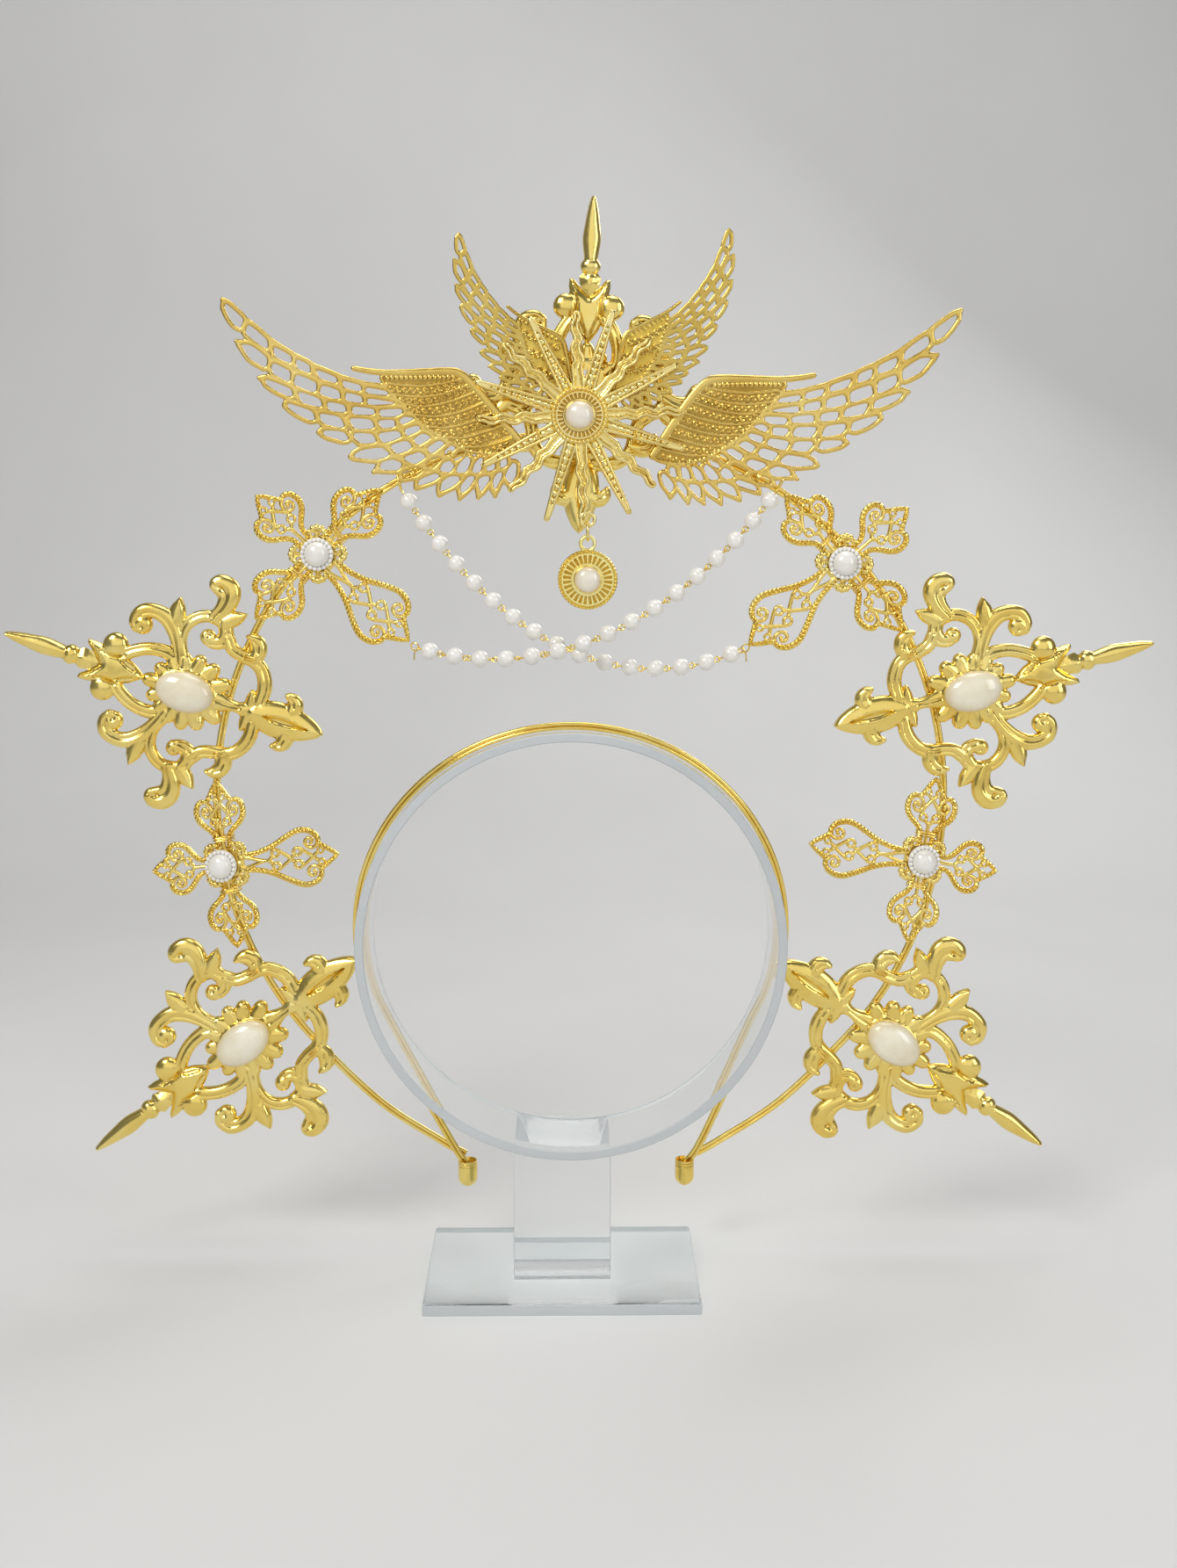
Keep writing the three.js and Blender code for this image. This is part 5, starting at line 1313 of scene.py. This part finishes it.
def block(name, x0, x1, y0, y1, z0, z1, bevel, only_upright=False):
    obj = mesh_object(name, [(x, y, z) for x in (x0, x1) for y in (y0, y1) for z in (z0, z1)], [[0, 1, 3, 2], [4, 6, 7, 5], [0, 4, 5, 1], [2, 3, 7, 6], [0, 2, 6, 4], [1, 5, 7, 3]])
    bm = bmesh.new()
    bm.from_mesh(obj.data)
    bmesh.ops.recalc_face_normals(bm, faces=bm.faces)
    edges = [e for e in bm.edges if not only_upright or abs(e.verts[0].co.z - e.verts[1].co.z) > 1e-6]
    bmesh.ops.bevel(bm, geom=edges, offset=bevel * MM, segments=3, profile=0.5, affect="EDGES", clamp_overlap=True)
    bm.to_mesh(obj.data)
    bm.free()
    return obj


def turned_ring(name, profile, sides, z):
    """A ring turned round the y axis from a closed loop of (radius, y)."""
    ang = np.arange(sides) * 2 * math.pi / sides
    n = len(profile)
    verts = [(r * math.sin(t), y, z + r * math.cos(t)) for t in ang for r, y in profile]
    faces = [[i * n + k, i * n + (k + 1) % n, ((i + 1) % sides) * n + (k + 1) % n, ((i + 1) % sides) * n + k] for i in range(sides) for k in range(n)]
    obj = mesh_object(name, verts, faces)
    bm = bmesh.new()
    bm.from_mesh(obj.data)
    bmesh.ops.recalc_face_normals(bm, faces=bm.faces)
    bm.to_mesh(obj.data)
    bm.free()
    return obj


def joined(a, b, operation):
    mod = a.modifiers.new(operation.lower(), "BOOLEAN")
    mod.object = b
    mod.operation = operation
    mod.solver = "EXACT"
    bpy.context.view_layer.update()
    made = bpy.data.meshes.new_from_object(a.evaluated_get(bpy.context.evaluated_depsgraph_get()))
    a.modifiers.clear()
    old = a.data
    a.data = made
    bpy.data.meshes.remove(old)
    old = b.data
    bpy.data.objects.remove(b)
    bpy.data.meshes.remove(old)


SIDES, INNER = 144, TUBE_R - TUBE_WALL
stand = block("acrylic_stand", -19, 13, -12, 12, 3, TUBE_Z - INNER + 1.0, 0.5, True)
c = 0.35
tube_loop = [(INNER, -19 + c), (INNER + c, -19), (TUBE_R - c, -19), (TUBE_R, -19 + c), (TUBE_R, 12 - c), (TUBE_R - c, 12), (INNER + c, 12), (INNER, 12 - c)]
joined(stand, turned_ring("tube", tube_loop, SIDES, TUBE_Z), "UNION")
ang = np.arange(SIDES) * 2 * math.pi / SIDES
bore = mesh_object("bore", [(INNER * math.sin(t), y, TUBE_Z + INNER * math.cos(t)) for y in (-12.4, 11.4) for t in ang], [[k, (k + 1) % SIDES, SIDES + (k + 1) % SIDES, SIDES + k] for k in range(SIDES)] + [list(range(SIDES))[::-1], list(range(SIDES, 2 * SIDES))])
bm = bmesh.new()
bm.from_mesh(bore.data)
bmesh.ops.recalc_face_normals(bm, faces=bm.faces)
bm.to_mesh(bore.data)
bm.free()
joined(stand, bore, "DIFFERENCE")
joined(stand, block("foot", -48, 42, -30, 30, 0, 4, 0.6), "UNION")
stand.name = "acrylic_stand"
mesh = stand.data
mesh.materials.clear()
mesh.materials.append(ACRYLIC)
mesh.materials.append(ACRYLIC_EDGE)
mesh.materials.append(ACRYLIC_BASE)
mesh.polygons.foreach_set("use_smooth", np.ones(len(mesh.polygons), bool))
cut = np.zeros(len(mesh.polygons), np.int32)
for poly in mesh.polygons:
    c, n = poly.center / MM, poly.normal
    rim = abs(math.hypot(c.x, c.z - TUBE_Z) - (TUBE_R + INNER) / 2) < 1.6 and (c.y > 11 or c.y < -18)
    side = abs(n.x) > 0.5 and c.z < 49
    foot = c.z < 3.6 and (abs(n.x) > 0.3 or abs(n.y) > 0.3)
    cut[poly.index] = 1 if rim or side or foot else 2 if c.z < 4.1 else 0
mesh.polygons.foreach_set("material_index", cut)
mesh.set_sharp_from_angle(angle=rad(30))
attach(stand, CROWN)
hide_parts("display_stand")


# ------------------------------------------------------------------ floor, light and camera
def floor_material():
    mat, tree, shader = nodes_of("studio_floor")
    cloud = noise(tree, 3.0, 3.0)
    tone = ramp(tree, cloud.outputs["Fac"], [(0.3, (0.68, 0.675, 0.665)), (0.7, (0.73, 0.725, 0.715))])
    tree.links.new(tone.outputs["Color"], shader.inputs["Base Color"])
    shader.inputs["Roughness"].default_value = 0.7
    return mat


sweep = [(-2.4, 0.0), (0.55, 0.0)]
sweep += [(0.55 + 0.5 * math.sin(a), 0.5 - 0.5 * math.cos(a)) for a in np.linspace(0.12, math.pi / 2, 14)]
sweep += [(1.05, 2.6)]
verts, faces = [], []
for y, z in sweep:
    verts += [(-2.6, y, z - 0.0004), (2.6, y, z - 0.0004)]
for i in range(len(sweep) - 1):
    faces.append([2 * i, 2 * i + 1, 2 * i + 3, 2 * i + 2])
mesh = bpy.data.meshes.new("studio_floor")
mesh.from_pydata(verts, [], faces)
mesh.polygons.foreach_set("use_smooth", np.ones(len(mesh.polygons), bool))
mesh.materials.append(floor_material())
floor = bpy.data.objects.new("studio_floor", mesh)
bpy.context.scene.collection.objects.link(floor)


def softbox(name, place, target, width, height, power, colour=(1, 1, 1)):
    light = bpy.data.lights.new(name, "AREA")
    light.shape = "RECTANGLE"
    light.size, light.size_y = width, height
    light.energy = power
    light.color = colour
    obj = bpy.data.objects.new(name, light)
    obj.location = place
    obj.rotation_euler = (Vector(target) - Vector(place)).to_track_quat("-Z", "Y").to_euler()
    # the acrylic already lets the lamps through, so they are not seen a second time through it
    obj.visible_transmission = False
    bpy.context.scene.collection.objects.link(obj)


softbox("key", (-0.75, -0.85, 1.15), (0, 0, 0.18), 0.55, 0.55, 9.2, (1.0, 0.98, 0.95))
softbox("fill", (0.95, -0.75, 0.55), (0, 0, 0.18), 0.45, 0.8, 3.2, (0.96, 0.98, 1.0))
softbox("front", (0.0, -1.75, 0.72), (0, 0, 0.2), 2.2, 1.4, 7.0)
softbox("top", (0.1, 0.1, 1.25), (0, 0.02, 0.2), 0.8, 0.6, 4.7)
softbox("rim", (0.5, 0.75, 0.75), (0, 0, 0.22), 0.4, 0.5, 2.2)

world = bpy.data.worlds.new("studio")
world.use_nodes = True
world.node_tree.nodes["Background"].inputs["Color"].default_value = (0.92, 0.95, 1.0, 1.0)
world.node_tree.nodes["Background"].inputs["Strength"].default_value = 0.19
bpy.context.scene.world = world
bpy.context.scene.view_settings.view_transform = "Standard"

camera = bpy.data.cameras.new("camera")
camera.sensor_width = 36.0
camera.lens = 39.20
camera.shift_y = -0.0969
camera.clip_start, camera.clip_end = 0.01, 20.0
eye = bpy.data.objects.new("camera", camera)
eye.location = (-0.00133, -0.56110, 0.25722)
eye.rotation_euler = (rad(86.0), 0.0, rad(-0.7295))
bpy.context.scene.collection.objects.link(eye)
bpy.context.scene.camera = eye

bpy.context.view_layer.update()
